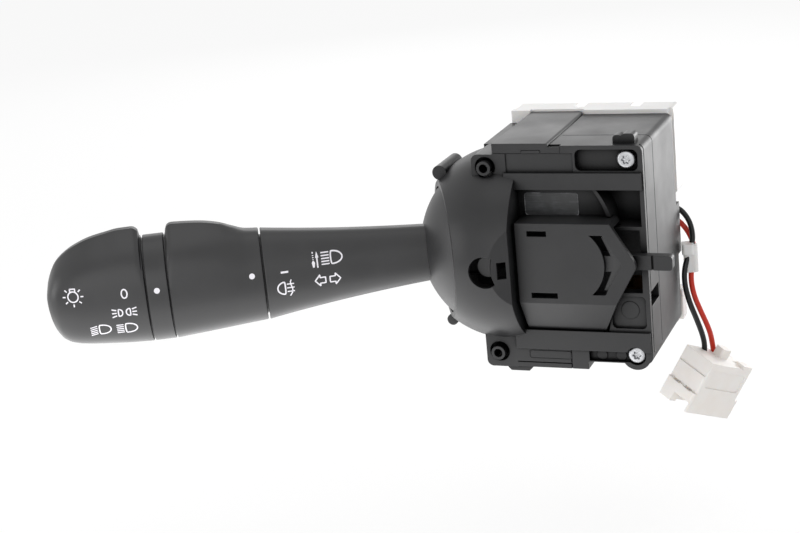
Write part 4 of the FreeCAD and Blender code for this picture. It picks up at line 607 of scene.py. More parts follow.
@dataclass
class StalkForm:
    """Outer form of the stalk. Its own frame has x out along the stalk, y towards the
    driver and z up. Sizes are in millimetres."""

    pivot: tuple[float, float, float] = (1.9, 16.0, 1.4)
    sweep: float = 27.0
    shell_start: float = 24.0
    shell_end: float = 78.05
    fog_start: float = 78.6
    fog_end: float = 106.9
    index_start: float = 107.4
    index_end: float = 113.75
    knob_start: float = 114.25
    knob_end: float = 144.3
    root_top: float = 8.5
    root_bottom: float = 9.1
    groove_top: float = 13.7
    groove_bottom: float = 15.3
    fog_top: float = 18.85
    index_top: float = 15.85
    index_bottom: float = 17.6
    knob_top: float = 18.95
    depth_share: float = 0.68
    root_share: float = 0.80
    straight: float = 0.55
    fog_swell: float = 0.9
    crest: float = 2.6
    tube: float = 4.7
    edge: float = 0.3
    # Shoulder, widest point and flank of a half section, as shares of depth and height
    shoulder: tuple[float, float] = (0.72, 0.62)
    widest: float = 0.05
    flank: tuple[float, float] = (0.74, 0.72)
    # Where they lie on the way round, which is about 1.55 times the height long
    knots: tuple[float, ...] = (0.0, 0.26, 0.56, 0.80, 1.0)
    way_round: float = 1.55
    end_pull: float = 0.75

    def to_row(self, points: np.ndarray) -> np.ndarray:
        """Take points from the stalk's frame, in mm, to the row frame, in metres.

        Args:
            points: array whose last axis is (x, y, z).

        Returns:
            The same points turned by the sweep about Z and moved to the pivot.
        """
        angle = math.radians(180 + self.sweep)
        turn = np.array([[math.cos(angle), -math.sin(angle), 0.0],
                         [math.sin(angle), math.cos(angle), 0.0],
                         [0.0, 0.0, 1.0]])
        return (points @ turn.T + np.array(self.pivot)) * MM

    def shell(self, x: np.ndarray) -> np.ndarray:
        """Columns (top, bottom, depth, crest, slope) of the shell at x: the stalk widens
        by a straight part plus a squared part of the way to the groove."""
        share = (x - self.shell_start) / (self.shell_end - self.shell_start)
        grow = self.straight * share + (1 - self.straight) * share**2
        top = self.root_top + (self.groove_top - self.root_top) * grow
        bottom = self.root_bottom + (self.groove_bottom - self.root_bottom) * grow
        flat = self.root_share + (self.depth_share - self.root_share) * share
        depth = (top + bottom) / 2 * flat
        two = np.full_like(x, 2.0)
        return np.stack([top, bottom, depth, two, two], -1)

    def fog(self, x: np.ndarray) -> np.ndarray:
        """Columns of the fog ring at x: level with the groove, then raised to a crest."""
        share = (x - self.fog_start) / (self.fog_end - self.fog_start)
        at = np.array([0.0, 0.14, 0.27, 0.42, 0.60, 0.80, 0.92, 0.965, 0.99, 1.0])
        lift = smooth_table(share, at, np.array(
            [0.0, 0.08, 0.34, 0.66, 0.87, 0.97, 1.0, 0.90, 0.62, 0.44]))
        slope = smooth_table(share, at, np.array(
            [2.0, 5.0, 18.0, 34.0, 42.0, 46.0, 46.0, 46.0, 40.0, 34.0]))
        top = self.groove_top + (self.fog_top - self.groove_top) * lift
        bottom = self.groove_bottom + (self.index_bottom - self.groove_bottom) * share
        depth = (self.groove_top + bottom) / 2 * self.depth_share + self.fog_swell * share
        return np.stack([top, bottom, depth, np.full_like(x, self.crest), slope], -1)

    def index(self, x: np.ndarray) -> np.ndarray:
        """Columns of the index ring, the same all along it."""
        depth = (self.index_top + self.index_bottom) / 2 * self.depth_share
        one = np.ones_like(x)
        return np.stack([self.index_top * one, self.index_bottom * one, depth * one,
                         self.crest * one, 12.0 * one], -1)

    def knob(self, x: np.ndarray) -> np.ndarray:
        """Columns of the knob: a rounded shoulder, a crest that falls, a blunt end."""
        share = (x - self.knob_start) / (self.knob_end - self.knob_start)
        at = np.array([0.0, 0.012, 0.035, 0.075, 0.20, 0.36, 0.52, 0.69, 0.80, 0.885,
                       0.945, 0.985, 1.0])
        lift = smooth_table(share, at, np.array(
            [0.0, 0.45, 0.80, 1.0, 0.99, 0.76, 0.44, -0.20, -0.85, -1.60, -2.55, -3.55,
             -4.15]))
        tuck = smooth_table(share, at, np.array(
            [0.0, 0.0, 0.0, 0.01, 0.03, 0.07, 0.12, 0.19, 0.27, 0.42, 0.69, 1.05, 1.35]))
        wide = smooth_table(share, at, np.array(
            [1.0, 1.0, 1.0, 1.0, 0.995, 0.985, 0.965, 0.92, 0.85, 0.76, 0.64, 0.49, 0.40]))
        slope = smooth_table(share, at, np.array(
            [40.0, 44.0, 46.0, 46.0, 46.0, 45.0, 42.0, 38.0, 32.0, 26.0, 18.0, 10.0, 6.0]))
        top = self.index_top + (self.knob_top - self.index_top) * lift
        bottom = self.index_bottom * (1 - 0.5 * tuck)
        depth = (self.index_top + self.index_bottom) / 2 * self.depth_share * wide
        return np.stack([top, bottom, depth, self.crest * wide, slope], -1)

    def section(self, columns: np.ndarray, count: int) -> np.ndarray:
        """Half sections from the crest down the driver's side to the bottom: cubic splines
        through five points each, with the crest's slope at the top and level at the bottom.

        Args:
            columns: top, bottom, depth, crest and slope of each section.
            count: points in each half section.

        Returns:
            Points (y, z) of shape (sections, count, 2).
        """
        top, bottom, depth, crest, slope = columns.T
        half = crest / 2
        through = np.stack([
            np.stack([half, top], -1),
            np.stack([half + (depth - half) * self.shoulder[0], top * self.shoulder[1]], -1),
            np.stack([depth, -bottom * self.widest], -1),
            np.stack([depth * self.flank[0], -bottom * self.flank[1]], -1),
            np.stack([np.zeros_like(top), -bottom], -1)], axis=1)
        knots = np.array(self.knots)
        size = (top + bottom)[:, None] * self.way_round
        lean = np.radians(slope)
        first = np.stack([np.cos(lean), -np.sin(lean)], -1) * size * self.end_pull
        last = np.stack([-np.ones_like(top), np.zeros_like(top)], -1) * size * self.end_pull
        step = np.diff(knots)
        system = np.eye(5)
        right = np.zeros((len(top), 5, 2))
        right[:, 0], right[:, 4] = first, last
        for k in range(1, 4):
            before, after = 1 / step[k - 1], 1 / step[k]
            system[k, k - 1:k + 2] = (before, 2 * before + 2 * after, after)
            right[:, k] = 3 * ((through[:, k] - through[:, k - 1]) / step[k - 1]**2
                               + (through[:, k + 1] - through[:, k]) / step[k]**2)
        tangent = np.einsum("ij,rjd->rid", np.linalg.inv(system), right)
        at = np.linspace(0, 1, count)
        k = np.clip(np.searchsorted(knots, at) - 1, 0, 3)
        t = ((at - knots[k]) / step[k])[None, :, None]
        return hermite(t, step[k][None, :, None], (through[:, k], through[:, k + 1]),
                       (tangent[:, k], tangent[:, k + 1]))

    def rings(self, columns: np.ndarray, x: np.ndarray, count: int = 72) -> np.ndarray:
        """Whole sections: a half section, its mirror image and the flat crest between.

        Args:
            columns: top, bottom, depth, crest and slope of each section.
            x: its place along the stalk.
            count: points in each half section.

        Returns:
            Points in the stalk's frame, shape (sections, 2 * count + 2, 3).
        """
        half = self.section(columns, count)
        mirror = half[:, -2::-1] * np.array([-1.0, 1.0])
        crest = half[:, :1] * np.array([0.0, 1.0])
        flat = np.concatenate([half, mirror, crest], axis=1)
        place = np.broadcast_to(x[:, None, None], (*flat.shape[:2], 1))
        return np.concatenate([place, flat], axis=2)

    def front(self, columns: np.ndarray, z: np.ndarray) -> np.ndarray:
        """Depth of the driver's side at height z of each section.

        Args:
            columns: top, bottom, depth, crest and slope at each point.
            z: height of each point.

        Returns:
            Its y in the stalk's frame.
        """
        half = self.section(columns, 96)
        above = (half[:, :-1, 1] >= z[:, None]) & (half[:, 1:, 1] < z[:, None])
        k = np.argmax(above, axis=1)
        r = np.arange(len(z))
        upper, lower = half[r, k], half[r, k + 1]
        share = (upper[:, 1] - z) / (upper[:, 1] - lower[:, 1])
        return upper[:, 0] + (lower[:, 0] - upper[:, 0]) * share


@dataclass
class StalkSkins:
    """The four outer skins of the stalk: shell, fog ring, index ring and light knob."""

    form: StalkForm
    finishes: Finishes
    # End wall of the knob, rise of its nose and how much deeper lands lie at the sides
    knob_wall: float = 7.2
    nose_rise: float = 0.5
    side_inset: float = 1.6

    def piece(self, name: str, body: Body, span: tuple[float, float], profile, rows: int,
              bore: float, land: tuple[float, float] | None) -> bpy.types.Object:
        """Make one skin: outer surface with quarter-round ends and a bore. A land on its
        outer end stands in the gap to the next skin, a little inside the outline.

        Args:
            name: name of the piece and of the CAD node it stands for.
            body: body that it rides on.
            span: inner and outer end along the stalk.
            profile: function that gives the section columns at x.
            rows: sections between the ends.
            bore: radius of the hole for the tube inside.
            land: how far inside the outline the land lies and where it ends, or None for
                the knob, whose outer end is closed.

        Returns:
            The piece.
        """
        form = self.form
        start, end = span
        x = np.linspace(start, end, rows)
        if land is None:
            x = start + (end - start) * np.sin(np.linspace(0, np.pi / 2, rows)) ** 0.9
        sections = form.rings(profile(x), x)
        count = sections.shape[1]
        whole = self.rounded_end(sections, start)
        if land is None:
            stop = end - self.knob_wall
            nose = [self.shrunk(sections[-1], end + self.nose_rise * (1 - share**2), share)
                    for share in (0.8, 0.6, 0.4, 0.2, 0.05)]
            path = [self.round_ring(stop, bore * 0.02, count),
                    self.round_ring(stop, bore, count),
                    self.round_ring(start, bore, count), *whole, *nose]
        else:
            inset, reach = land
            side = sections[-1][:, 1] / sections[-1][:, 1].max()
            inset = inset + self.side_inset * side**2
            whole = self.rounded_end(np.array(whole)[::-1], end)[::-1]
            path = [self.round_ring(start, bore, count), *whole,
                    self.pulled_in(sections[-1], inset, end),
                    self.pulled_in(sections[-1], inset, reach),
                    self.round_ring(reach, bore, count)]
        made = closed_mesh(name, form.to_row(np.array(path)), land is not None, land is None,
                           self.finishes.stalk, 32.0)
        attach(made, body.value)
        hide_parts(name)
        return made

    @staticmethod
    def pulled_in(ring: np.ndarray, inset: float | np.ndarray, x: float) -> np.ndarray:
        """A section moved in towards the axis by the inset, at x."""
        made = ring.copy()
        made[:, 1:] *= (1 - inset / np.hypot(ring[:, 1], ring[:, 2]))[:, None]
        made[:, 0] = x
        return made

    @staticmethod
    def round_ring(x: float, radius: float, count: int) -> np.ndarray:
        """A circle about the stalk's axis, which starts at the crest like the sections."""
        angle = np.linspace(0, 2 * np.pi, count, endpoint=False) + 0.02
        return np.stack([np.full(count, x), radius * np.sin(angle), radius * np.cos(angle)], -1)

    @staticmethod
    def shrunk(ring: np.ndarray, x: float, share: float) -> np.ndarray:
        """A ring drawn in towards its own middle, at x."""
        centre = np.array([x, 0.0, ring[:, 2].mean()])
        made = centre + (ring - np.array([ring[0, 0], 0.0, ring[:, 2].mean()])) * share
        made[:, 0] = x
        return made

    def rounded_end(self, rings: np.ndarray, end: float) -> list:
        """Replace what lies within the edge radius of an end by a quarter round.

        Args:
            rings: sections from that end onwards.
            end: place of the end along the stalk.

        Returns:
            The sections, as a list that starts at the end face.
        """
        edge = self.form.edge
        inward = 1.0 if rings[-1][0, 0] > end else -1.0
        painted_shade_kept = [ring for ring in rings if (ring[0, 0] - end) * inward > edge]
        rounded = [self.pulled_in(rings[0], edge * (1 - math.cos(angle)),
                                  end + inward * edge * (1 - math.sin(angle)))
                   for angle in np.linspace(np.pi / 2, 0, 6)]
        return rounded + painted_shade_kept

    def build(self) -> None:
        """Make all four skins."""
        form = self.form
        self.piece("stalk_shell", Body.STALK, (26.4, form.shell_end), form.shell, 90,
                   form.tube, (2.0, form.fog_start - 0.02))
        self.piece("fog_ring", Body.RING, (form.fog_start, form.fog_end), form.fog, 90,
                   form.tube, (0.8, form.index_start - 0.02))
        self.piece("index_ring", Body.STALK, (form.index_start, form.index_end), form.index,
                   12, 3.5, (0.8, form.knob_start - 0.02))
        self.piece("light_knob", Body.KNOB, (form.knob_start, form.knob_end), form.knob, 110,
                   2.3, None)
        log.info("stalk skins built")


@dataclass
class Symbols:
    """Printed symbols on the driver's side. Each is a set of strokes in millimetres, with
    u to the right in the driver's view and v up, laid on the skin as a thin film."""

    form: StalkForm
    finishes: Finishes
    stroke: float = 0.40
    broad: float = 0.44
    # Angles of a whole loop of 32 points, whose last one stops short of its first
    full: tuple[float, float] = (0, 348.75)
    film: float = 0.03
    sunk: float = 0.05

    @staticmethod
    def arc(radius_u: float, radius_v: float, start: float, end: float,
            count: int = 28) -> np.ndarray:
        """Points on part of an ellipse, from one angle in degrees to another."""
        angle = np.radians(np.linspace(start, end, count))
        return np.stack([radius_u * np.cos(angle), radius_v * np.sin(angle)], -1)

    @staticmethod
    def line(*points: tuple[float, float], count: int = 9) -> np.ndarray:
        """Points along straight runs through the corners, close enough to bend with the skin."""
        corners = np.array(points)
        runs = [a + (b - a) * np.linspace(0, 1, count)[:, None]
                for a, b in zip(corners[:-1], corners[1:])]
        return np.concatenate([run[:-1] for run in runs] + [corners[-1:]])

    def lamp(self, width: float, height: float, facing: float,
             power: float = 0.8) -> np.ndarray:
        """Closed outline of a lamp: a nearly straight glass and a half-ellipse behind it,
        whose depth is raised to the power: below one it is blunter."""
        back = self.arc(width, height / 2, -84, 84, 30)
        back[:, 0] = width * (back[:, 0] / width) ** power
        glass = self.arc(width * 0.10, height / 2 * 0.99, 100, 260, 16)
        return np.concatenate([back, glass]) * np.array([facing, 1.0])

    def rays(self, ends: list, width: float) -> list:
        """Straight open strokes between the pairs of ends."""
        return [(self.line(start, end), width, False) for start, end in ends]

    @staticmethod
    def ribbon(path: np.ndarray, width: float | np.ndarray, closed: bool) -> np.ndarray:
        """Edges of a stroke: the path moved half the width to each side along its normal.

        Args:
            path: points (u, v).
            width: width of the stroke, or its width at each point.
            closed: whether the path is a loop.

        Returns:
            Points of shape (n, 2, 2): left and right edge.
        """
        if closed:
            ahead, behind = np.roll(path, -1, 0), np.roll(path, 1, 0)
        else:
            ahead = np.concatenate([path[1:], path[-1:]])
            behind = np.concatenate([path[:1], path[:-1]])
        along = ahead - behind
        along /= np.linalg.norm(along, axis=1)[:, None]
        normal = np.stack([-along[:, 1], along[:, 0]], -1)
        half = np.broadcast_to(np.asarray(width, float).reshape(-1, 1), (len(path), 1)) / 2
        return np.stack([path + normal * half, path - normal * half], axis=1)

    def lay(self, edges: np.ndarray, centre: tuple[float, float], profile) -> np.ndarray:
        """Wrap the edges of a stroke onto the skin, as rings of a thin closed film that
        goes a little way into it.

        Args:
            edges: points (n, 2, 2) in (u, v).
            centre: place (x, z) of the symbol in the stalk's frame.
            profile: section function of the skin.

        Returns:
            Points in the row frame, shape (n, 4, 3).
        """
        x = centre[0] - edges[..., 0]
        z = centre[1] + edges[..., 1]
        y = self.form.front(profile(x.ravel()), z.ravel()).reshape(x.shape)
        upper = np.stack([x, y + self.film, z], -1)
        lower = np.stack([x, y - self.sunk, z], -1)
        return self.form.to_row(np.concatenate([upper, lower[:, ::-1]], axis=1))

    def print_symbol(self, name: str, body: Body, centre: tuple[float, float], profile,
                     strokes: list) -> bpy.types.Object:
        """Make one symbol from its strokes.

        Args:
            name: name of the piece.
            body: body that it rides on.
            centre: place (x, z) in the stalk's frame.
            profile: section function of the skin it lies on.
            strokes: tuples (path, width, closed).

        Returns:
            The symbol, one mesh.
        """
        shells = [(self.lay(self.ribbon(path, width, closed), centre, profile), closed,
                   not closed) for path, width, closed in strokes]
        made = joined_mesh(name, shells, self.finishes.ink)
        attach(made, body.value)
        return made

    @staticmethod
    def disc(radius: float) -> list:
        """A filled dot as one short wide stroke with a rounded outline."""
        across = np.linspace(-radius * 0.995, radius * 0.995, 24)
        return [(np.stack([across, np.zeros_like(across)], -1),
                 2 * np.sqrt(radius**2 - across**2)[:, None], False)]

    def bulb(self) -> list:
        """Round bulb with a cap and seven rays."""
        w = self.stroke
        angles = np.radians([0, 180, 42, 138, -40, -140, -90])
        ways = np.stack([np.cos(angles), np.sin(angles)], -1)
        cap = self.line((-0.75, 1.6), (-0.8, 2.4), (0.8, 2.4), (0.75, 1.6))
        return [(self.arc(1.55, 1.6, *self.full, 32), w, True),
                *self.rays([(way * 2.25, way * 3.15) for way in ways], w), (cap, w, False)]

    def side_lights(self) -> list:
        """Two small lamps back to back, each with three rays."""
        strokes = []
        for side in (-1.0, 1.0):
            lamp = self.lamp(1.15, 2.2, -side) + np.array([side * 1.7, 0.0])
            rays = [((side * 2.35, rise), (side * 3.75, rise + lean))
                    for rise, lean in ((0.85, 0.42), (0.0, 0.0), (-0.85, -0.42))]
            strokes += [(lamp, self.stroke, True), *self.rays(rays, self.stroke)]
        return strokes

    def headlight(self, lean: float) -> list:
        """Lamp that faces left, with five beams that lean by the given drop."""
        lamp = self.lamp(3.2, 3.2, 1.0) + np.array([-0.4, 0.0])
        beams = [((-1.25, rise), (-3.4, rise - lean)) for rise in np.linspace(1.35, -1.35, 5)]
        return [(lamp, self.stroke, True), *self.rays(beams, self.stroke * 0.8)]

    def beam_change(self) -> list:
        """Main beam with a full arrow up and a broken arrow down."""
        w, full, broken = self.broad, -3.15, -4.35
        lamp = self.lamp(3.2, 3.7, 1.0, 0.95) + np.array([1.35, 0.0])
        beams = [((-1.9, rise), (0.55, rise)) for rise in np.linspace(1.7, -1.7, 5)]
        dashes = [(self.line((broken, start), (broken, end), count=4), w * 0.9, False)
                  for start, end in ((2.25, 1.78), (1.35, 1.1), (0.75, 0.5), (0.15, -0.1))]
        up = np.linspace(1.05, 0.12, 9)[:, None]
        down = np.interp(np.linspace(0, 1, 9), (0.0, 0.3, 1.0), (0.4, 1.05, 0.45))[:, None]
        return [(lamp, w, True), *self.rays(beams, w * 0.85),
                *self.rays([((full, -2.5), (full, 0.7))], w),
                *self.rays([((full, 0.45), (full, 2.15))], up), *dashes,
                *self.rays([((broken, -0.35), (broken, -2.35))], down)]

    def turn_arrow(self, facing: float) -> list:
        """Outline of a broad arrow that faces right for 1 and left for -1."""
        half = 1.8
        corners = [(1.92, 0.0), (0.35, half), (0.35, half / 2), (-1.32, half / 2),
                   (-1.32, -half / 2), (0.35, -half / 2), (0.35, -half)]
        flipped = [(u * facing, v) for u, v in corners]
        return [(self.line(*flipped, flipped[0])[:-1], self.stroke, True)]

    def rear_fog(self) -> list:
        """Lamp that faces right, three level beams and a wavy line across them."""
        lamp = self.lamp(2.15, 3.95, -1.0, 1.1) + np.array([-0.5, 0.0])
        thin = self.broad * 0.85
        beams = self.rays([((0.2, rise), (2.45, rise)) for rise in (1.2, 0.0, -1.2)], thin)
        down = np.linspace(-2.5, 2.7, 28)
        across = smooth_table(down, np.array([-2.5, -1.85, -0.95, 0.5, 1.4, 2.7]),
                              np.array([1.7, 1.38, 1.48, 1.85, 1.72, 0.95]))
        wave = np.stack([across, -down], -1)
        return [(lamp, self.broad, True), *beams, (wave, thin, False)]

    def build(self) -> None:
        """Print every symbol in its place."""
        form = self.form
        zero = [(self.arc(0.85, 1.35, *self.full, 32), 0.42, True)]
        dash = [(self.line((-1.15, 0.0), (1.15, 0.0)), 0.62, False)]
        on_knob = (Body.KNOB, form.knob)
        on_shell = (Body.STALK, form.shell)
        table = [
            # name, body and skin, place (x, z) on it, strokes
            ("symbol_bulb", on_knob, (135.9, 2.2), self.bulb()),
            ("symbol_zero", on_knob, (120.6, 1.65), zero),
            ("symbol_side_lights", on_knob, (121.3, -4.2), self.side_lights()),
            ("symbol_dipped_beam", on_knob, (128.9, -9.2), self.headlight(0.55)),
            ("symbol_main_beam", on_knob, (121.0, -9.6), self.headlight(0.0)),
            ("mark_index", (Body.STALK, form.index), (110.8, 1.35), self.disc(0.88)),
            ("mark_fog_ring", (Body.RING, form.fog), (82.0, 1.8), self.disc(0.88)),
            ("symbol_off", on_shell, (72.1, 1.7), dash),
            ("symbol_rear_fog", on_shell, (72.05, -3.35), self.rear_fog()),
            ("symbol_beam_change", on_shell, (58.7, 4.15), self.beam_change()),
            ("symbol_turn_left", on_shell, (61.2, -2.45), self.turn_arrow(-1.0)),
            ("symbol_turn_right", on_shell, (57.2, -2.5), self.turn_arrow(1.0)),
        ]
        for name, (body, profile), centre, strokes in table:
            self.print_symbol(name, body, centre, profile, strokes)
        log.info("symbols printed")


# Box and lead


@dataclass
class FaceDetails:
    """Small pieces on the front face: screws, bare label and bare marking plate. The
    screws are in millimetres."""

    finishes: Finishes
    lobe: float = 0.20
    rim: float = 0.9
    screw_x: float = 43.1
    screw_heights: tuple[float, float] = (31.45, -29.15)
    seat: float = 2.2
    head: float = 2.88
    head_height: float = 1.9
    shank: float = 1.45
    length: float = 16.0

    def screws(self) -> None:
        """Pan heads turned about Y, with a six-lobed socket: its radius is that of the row
        times one plus 0.2 times the cosine of six times the angle."""
        angle = np.linspace(0, 2 * np.pi, 72, endpoint=False)
        rise = np.linspace(0, np.pi / 2, 8)
        dome = [(self.head - self.rim * (1 - math.cos(t)), 0.55 + 1.3 * math.sin(t), 0.0)
                for t in rise]
        # Each row is a radius, a height above the seat and the share of the lobes
        rows = [(0.2, -self.length, 0.0), (self.shank, -self.length + 1.2, 0.0),
                (self.shank, 0.0, 0.0), (self.head, 0.0, 0.0), *dome,
                (1.50, self.head_height, 0.0), (1.22, self.head_height - 0.03, 1.0),
                (1.10, self.head_height - 0.18, 1.0), (1.05, self.head_height - 1.1, 1.0),
                (0.2, self.head_height - 1.3, 0.0)]
        table = np.array(rows)
        lobes = 1 + self.lobe * np.cos(6 * angle)[None] * table[:, 2:3]
        radius = table[:, :1] * lobes
        shells = []
        for height in self.screw_heights:
            rings = np.stack([self.screw_x + radius * np.cos(angle),
                              self.seat - np.broadcast_to(table[:, 1:2], radius.shape),
                              height + radius * np.sin(angle)], -1)
            shells.append((rings * MM, False, True))
        made = joined_mesh("assembly_screws_turned", shells, self.finishes.zinc, 30.0)
        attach(made, Body.HOUSING.value)
        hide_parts("assembly_screws")

    def plates(self) -> None:
        """Bare label in the trough and bare marking plate on the lower strip, each with the
        thin raised outline that its printing would stand in."""
        finish = self.finishes
        label = ((10.9 * MM, 13.9 * MM), (27.4 * MM, 20.8 * MM))
        plate = ((9.6 * MM, -31.2 * MM), (22.8 * MM, -28.7 * MM))
        film = rounded_plate(*label, 0.9 * MM, 2.55 * MM, 2.44 * MM, 0.04 * MM)
        beads = [
            # name, corners, corner radius, seat, width, rise, finish
            ("label_outline", label, 0.9, 2.44, 0.22, 0.03, finish.rubbed),
            ("marking_plate_outline", plate, 0.7, 0.0, 0.3, 0.14, finish.housing)]
        pieces = [closed_mesh("bare_label", film, False, True, finish.label, 30.0)]
        for name, corners, corner, seat, width, rise, material in beads:
            bead = outline_bead(*corners, corner * MM, seat * MM, width * MM, rise * MM)
            pieces.append(closed_mesh(name, bead, True, False, material, 60.0))
        for piece in pieces:
            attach(piece, Body.HOUSING.value)

    def build(self) -> None:
        """Make all of them."""
        self.screws()
        self.plates()
        log.info("face details built")


@dataclass
class Lead:
    """The short two-wire lead. Its routes are the CAD routes, in millimetres."""

    finishes: Finishes
    wire: float = 0.875
    black: tuple = (
        (42.0, 47.2, 4.6), (46.6, 47.2, 4.2), (50.6, 46.2, 0.4), (52.2, 44.4, -4.6),
        (51.6, 42.4, -9.0), (49.9, 40.4, -13.4), (49.6, 39.6, -19.0), (50.9, 39.9, -25.6),
        (52.9, 40.9, -32.0), (54.3, 41.9, -37.4), (54.55, 43.3, -41.8), (54.1, 43.6, -44.4))
    red: tuple = (
        (42.0, 47.2, 0.6), (46.2, 47.2, 0.2), (50.0, 46.6, -3.6), (52.4, 44.8, -8.4),
        (51.9, 42.6, -13.0), (51.3, 41.6, -18.0), (52.0, 41.7, -23.6), (53.9, 42.4, -29.4),
        (55.7, 44.0, -35.2), (56.4, 45.6, -39.8), (56.45, 48.1, -46.9))

    def cord(self, name: str, route: tuple, material: Material) -> bpy.types.Object:
        """Make one wire as a smooth NURBS curve.

        Args:
            name: name of the piece.
            route: its control points in millimetres.
            material: its finish.

        Returns:
            The curve object.
        """
        curve = bpy.data.curves.new(name, "CURVE")
        curve.dimensions = "3D"
        spline = curve.splines.new("NURBS")
        spline.points.add(len(route) - 1)
        points = np.concatenate([np.array(route) * MM, np.ones((len(route), 1))], axis=1)
        spline.points.foreach_set("co", points.astype(np.float32).ravel())
        spline.order_u = 3
        spline.use_endpoint_u = True
        spline.resolution_u = 12
        curve.bevel_depth = self.wire * MM
        curve.bevel_resolution = 6
        curve.use_fill_caps = True
        curve.materials.append(material)
        made = bpy.data.objects.new(name, curve)
        bpy.context.scene.collection.objects.link(made)
        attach(made, Body.HOUSING.value)
        return made

    def build(self, nodes: dict) -> None:
        """Make both wires.

        Args:
            nodes: the CAD nodes of the frame by name; not used.
        """
        black = self.cord("lead_black", self.black, self.finishes.black_wire)
        red = self.cord("lead_red", self.red, self.finishes.red_wire)
        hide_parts("wire_black")
        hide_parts("wire_red")
        log.info("lead built")


def dress_nodes(nodes: dict, finishes: Finishes) -> None:
    """Give each shown CAD node its finish.

    Args:
        nodes: the CAD nodes of the frame by name.
        finishes: all finishes.
    """
    by_finish = {
        finishes.housing: ("front_housing", "rear_housing", "top_cover", "cancel_cover",
                           "trip_finger"),
        finishes.dome: ("stalk_shield", "cancel_slider"),
        finishes.stalk: ("stalk_shell", "fog_ring", "index_ring", "light_knob"),
        finishes.inner: ("rocker_yoke", "stalk_hub", "hub_cap", "core_tube", "detent_cam",
                         "detent_plunger", "fog_drive_tube", "fog_contact_rotor",
                         "light_contact_rotor", "knob_shaft"),
        finishes.white: ("terminal_block", "wire_clip"),
        finishes.plug: ("lead_connector",),
        finishes.zinc: ("assembly_screws",),
        finishes.steel: ("cross_pins", "finger_pin", "fog_detent_pin", "light_detent_pin",
                         "slider_spring", "detent_spring", "finger_spring"),
        finishes.brass: ("contact_tracks", "terminal_blades", "lead_terminals",
                         "signal_wipers"),
        finishes.laminate: ("contact_plate",),
        finishes.black_wire: ("wire_black",),
        finishes.red_wire: ("wire_red",),
    }
    for material, names in by_finish.items():
        for name in names:
            slots = nodes[name].data.materials
            slots.clear()
            slots.append(material)
    log.info("CAD nodes dressed")


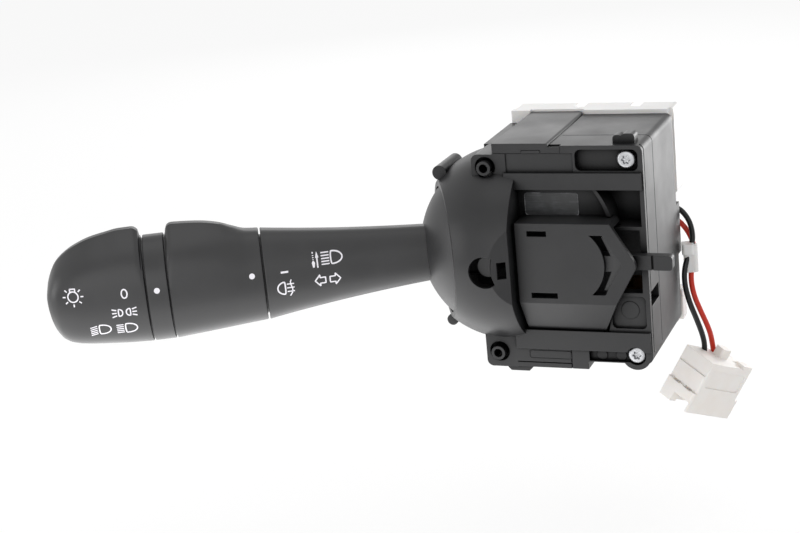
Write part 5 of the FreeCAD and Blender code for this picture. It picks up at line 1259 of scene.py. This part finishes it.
@dataclass
class Studio:
    """Pale floor, soft lamps and the camera of the photograph."""

    floor_height: float = -0.10
    floor_reach: float = 3.0
    camera_place: tuple[float, float, float] = (0.1646, -0.4676, 0.15375)
    right: tuple[float, float, float] = (0.9295, 0.3563, -0.0947)
    down: tuple[float, float, float] = (0.0215, -0.3089, -0.9508)
    forward: tuple[float, float, float] = (-0.3681, 0.8818, -0.2948)
    lens: float = 76.62
    unseen_world: float = 0.65
    floor_glow: float = 0.68
    lamps: tuple = (
        # name, place, aim, size, power in watts
        ("key_above", (-0.05, -0.15, 0.85), (0.0, 0.0, 0.0), 0.6, 0.6),
        ("front_fill", (0.10, -1.0, 0.20), (0.0, 0.0, 0.0), 0.8, 1.7),
        ("left_fill", (-0.75, -0.45, 0.10), (0.0, 0.0, 0.0), 0.5, 1.3),
        ("side_right", (0.42, 0.72, 0.08), (0.04, 0.02, 0.0), 0.5, 1.5),
        ("side_low", (0.185, 0.357, -0.01), (0.046, 0.025, 0.02), 0.2, 0.24),
        ("back_above", (-0.35, 0.85, 0.32), (0.0, 0.0, 0.0), 0.5, 0.5),
        ("table_below", (-0.16, -0.10, -0.095), (-0.16, -0.10, 0.0), 0.38, 0.48))

    def camera(self) -> None:
        """Put the camera where the photograph was taken from."""
        data = bpy.data.cameras.new("photo_camera")
        data.lens = self.lens
        data.sensor_width = 36.0
        data.clip_start = 0.01
        data.clip_end = 20.0
        made = bpy.data.objects.new("photo_camera", data)
        bpy.context.scene.collection.objects.link(made)
        axes = np.array([self.right, -np.array(self.down), -np.array(self.forward)]).T
        left, _, rest = np.linalg.svd(axes)
        whole = np.eye(4)
        whole[:3, :3] = left @ rest
        whole[:3, 3] = self.camera_place
        made.matrix_world = Matrix(whole.tolist())
        bpy.context.scene.camera = made

    def light(self) -> None:
        """Soft area lamps and an even world that is white to the camera."""
        for name, place, aim, size, power in self.lamps:
            data = bpy.data.lights.new(name, "AREA")
            data.shape = "DISK"
            data.size = size
            data.energy = power
            made = bpy.data.objects.new(name, data)
            made.visible_camera = False
            bpy.context.scene.collection.objects.link(made)
            turn = (Vector(place) - Vector(aim)).to_track_quat("Z", "Y")
            made.matrix_world = Matrix.Translation(place) @ turn.to_matrix().to_4x4()
        world = bpy.data.worlds.new("studio")
        bpy.context.scene.world = world
        world.use_nodes = True
        tree = world.node_tree
        tree.nodes.clear()
        output = add_node(tree, "ShaderNodeOutputWorld")
        strength = self.seen_strength(tree, self.unseen_world)
        shader = add_node(tree, "ShaderNodeBackground", {}, {
            "Color": (1.0, 1.0, 1.0, 1.0), "Strength": strength})
        tree.links.new(shader.outputs[0], output.inputs["Surface"])

    @staticmethod
    def seen_strength(tree: bpy.types.NodeTree, unseen: float) -> bpy.types.NodeSocket:
        """One for camera, glossy and transmission rays, and less for all others.

        Args:
            tree: node tree that takes the nodes.
            unseen: strength for the other rays.

        Returns:
            The socket that carries the strength.
        """
        path = add_node(tree, "ShaderNodeLightPath")
        either = add_node(tree, "ShaderNodeMath", {"operation": "MAXIMUM"}, {
            0: path.outputs["Is Camera Ray"], 1: path.outputs["Is Glossy Ray"]})
        seen = add_node(tree, "ShaderNodeMath", {"operation": "MAXIMUM"}, {
            0: either.outputs["Value"], 1: path.outputs["Is Transmission Ray"]})
        value = add_node(tree, "ShaderNodeMapRange", {}, {
            "Value": seen.outputs["Value"], "To Min": unseen, "To Max": 1.0})
        return value.outputs["Result"]

    def floor(self) -> None:
        """Plain pale floor that keeps the object's shadow."""
        count = 4
        grid = np.linspace(-self.floor_reach, self.floor_reach, count)
        x, y = np.meshgrid(grid, grid, indexing="ij")
        points = np.stack([x, y, np.full_like(x, self.floor_height)], -1).reshape(-1, 3)
        i, j = np.meshgrid(np.arange(count - 1), np.arange(count - 1), indexing="ij")
        base = i * count + j
        faces = np.stack([base, base + count, base + count + 1, base + 1], -1).reshape(-1, 4)
        mesh = bpy.data.meshes.new("studio_floor")
        mesh.from_pydata(points.tolist(), [], faces.tolist())
        look = Look("pale_floor")
        tree = look.tree
        # Seen by the camera or in a reflection it is nearly white of itself, and the rest
        # of its white is light that falls on it, so that the shadow stays
        bounce = add_node(tree, "ShaderNodeBsdfDiffuse", {}, {"Color": linear("#F2F2F2")})
        shade = add_node(tree, "ShaderNodeBsdfDiffuse", {}, {"Color": linear("#A8A8A8")})
        glow = add_node(tree, "ShaderNodeEmission", {}, {
            "Color": (1.0, 1.0, 1.0, 1.0), "Strength": self.floor_glow})
        light = add_node(tree, "ShaderNodeAddShader", {}, {
            0: shade.outputs[0], 1: glow.outputs[0]})
        either = add_node(tree, "ShaderNodeMixShader", {}, {
            0: self.seen_strength(tree, 0.0), 1: bounce.outputs[0], 2: light.outputs[0]})
        mesh.materials.append(look.close(either))
        made = bpy.data.objects.new("studio_floor", mesh)
        bpy.context.scene.collection.objects.link(made)

    def build(self) -> None:
        """Make the floor, lamps, world and camera."""
        self.floor()
        self.light()
        self.camera()
        bpy.context.scene.view_settings.view_transform = "Standard"
        log.info("studio built")


def main() -> None:
    """Build the studio, the finishes and every piece."""
    logging.basicConfig(level=logging.INFO)
    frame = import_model()
    Studio().build()
    finishes = Finishes()
    Lead(finishes).build(frame["nodes"])
    dress_nodes(frame["nodes"], finishes)
    form = StalkForm()
    StalkSkins(form, finishes).build()
    Symbols(form, finishes).build()
    FaceDetails(finishes).build()


if __name__ == "__main__":
    main()
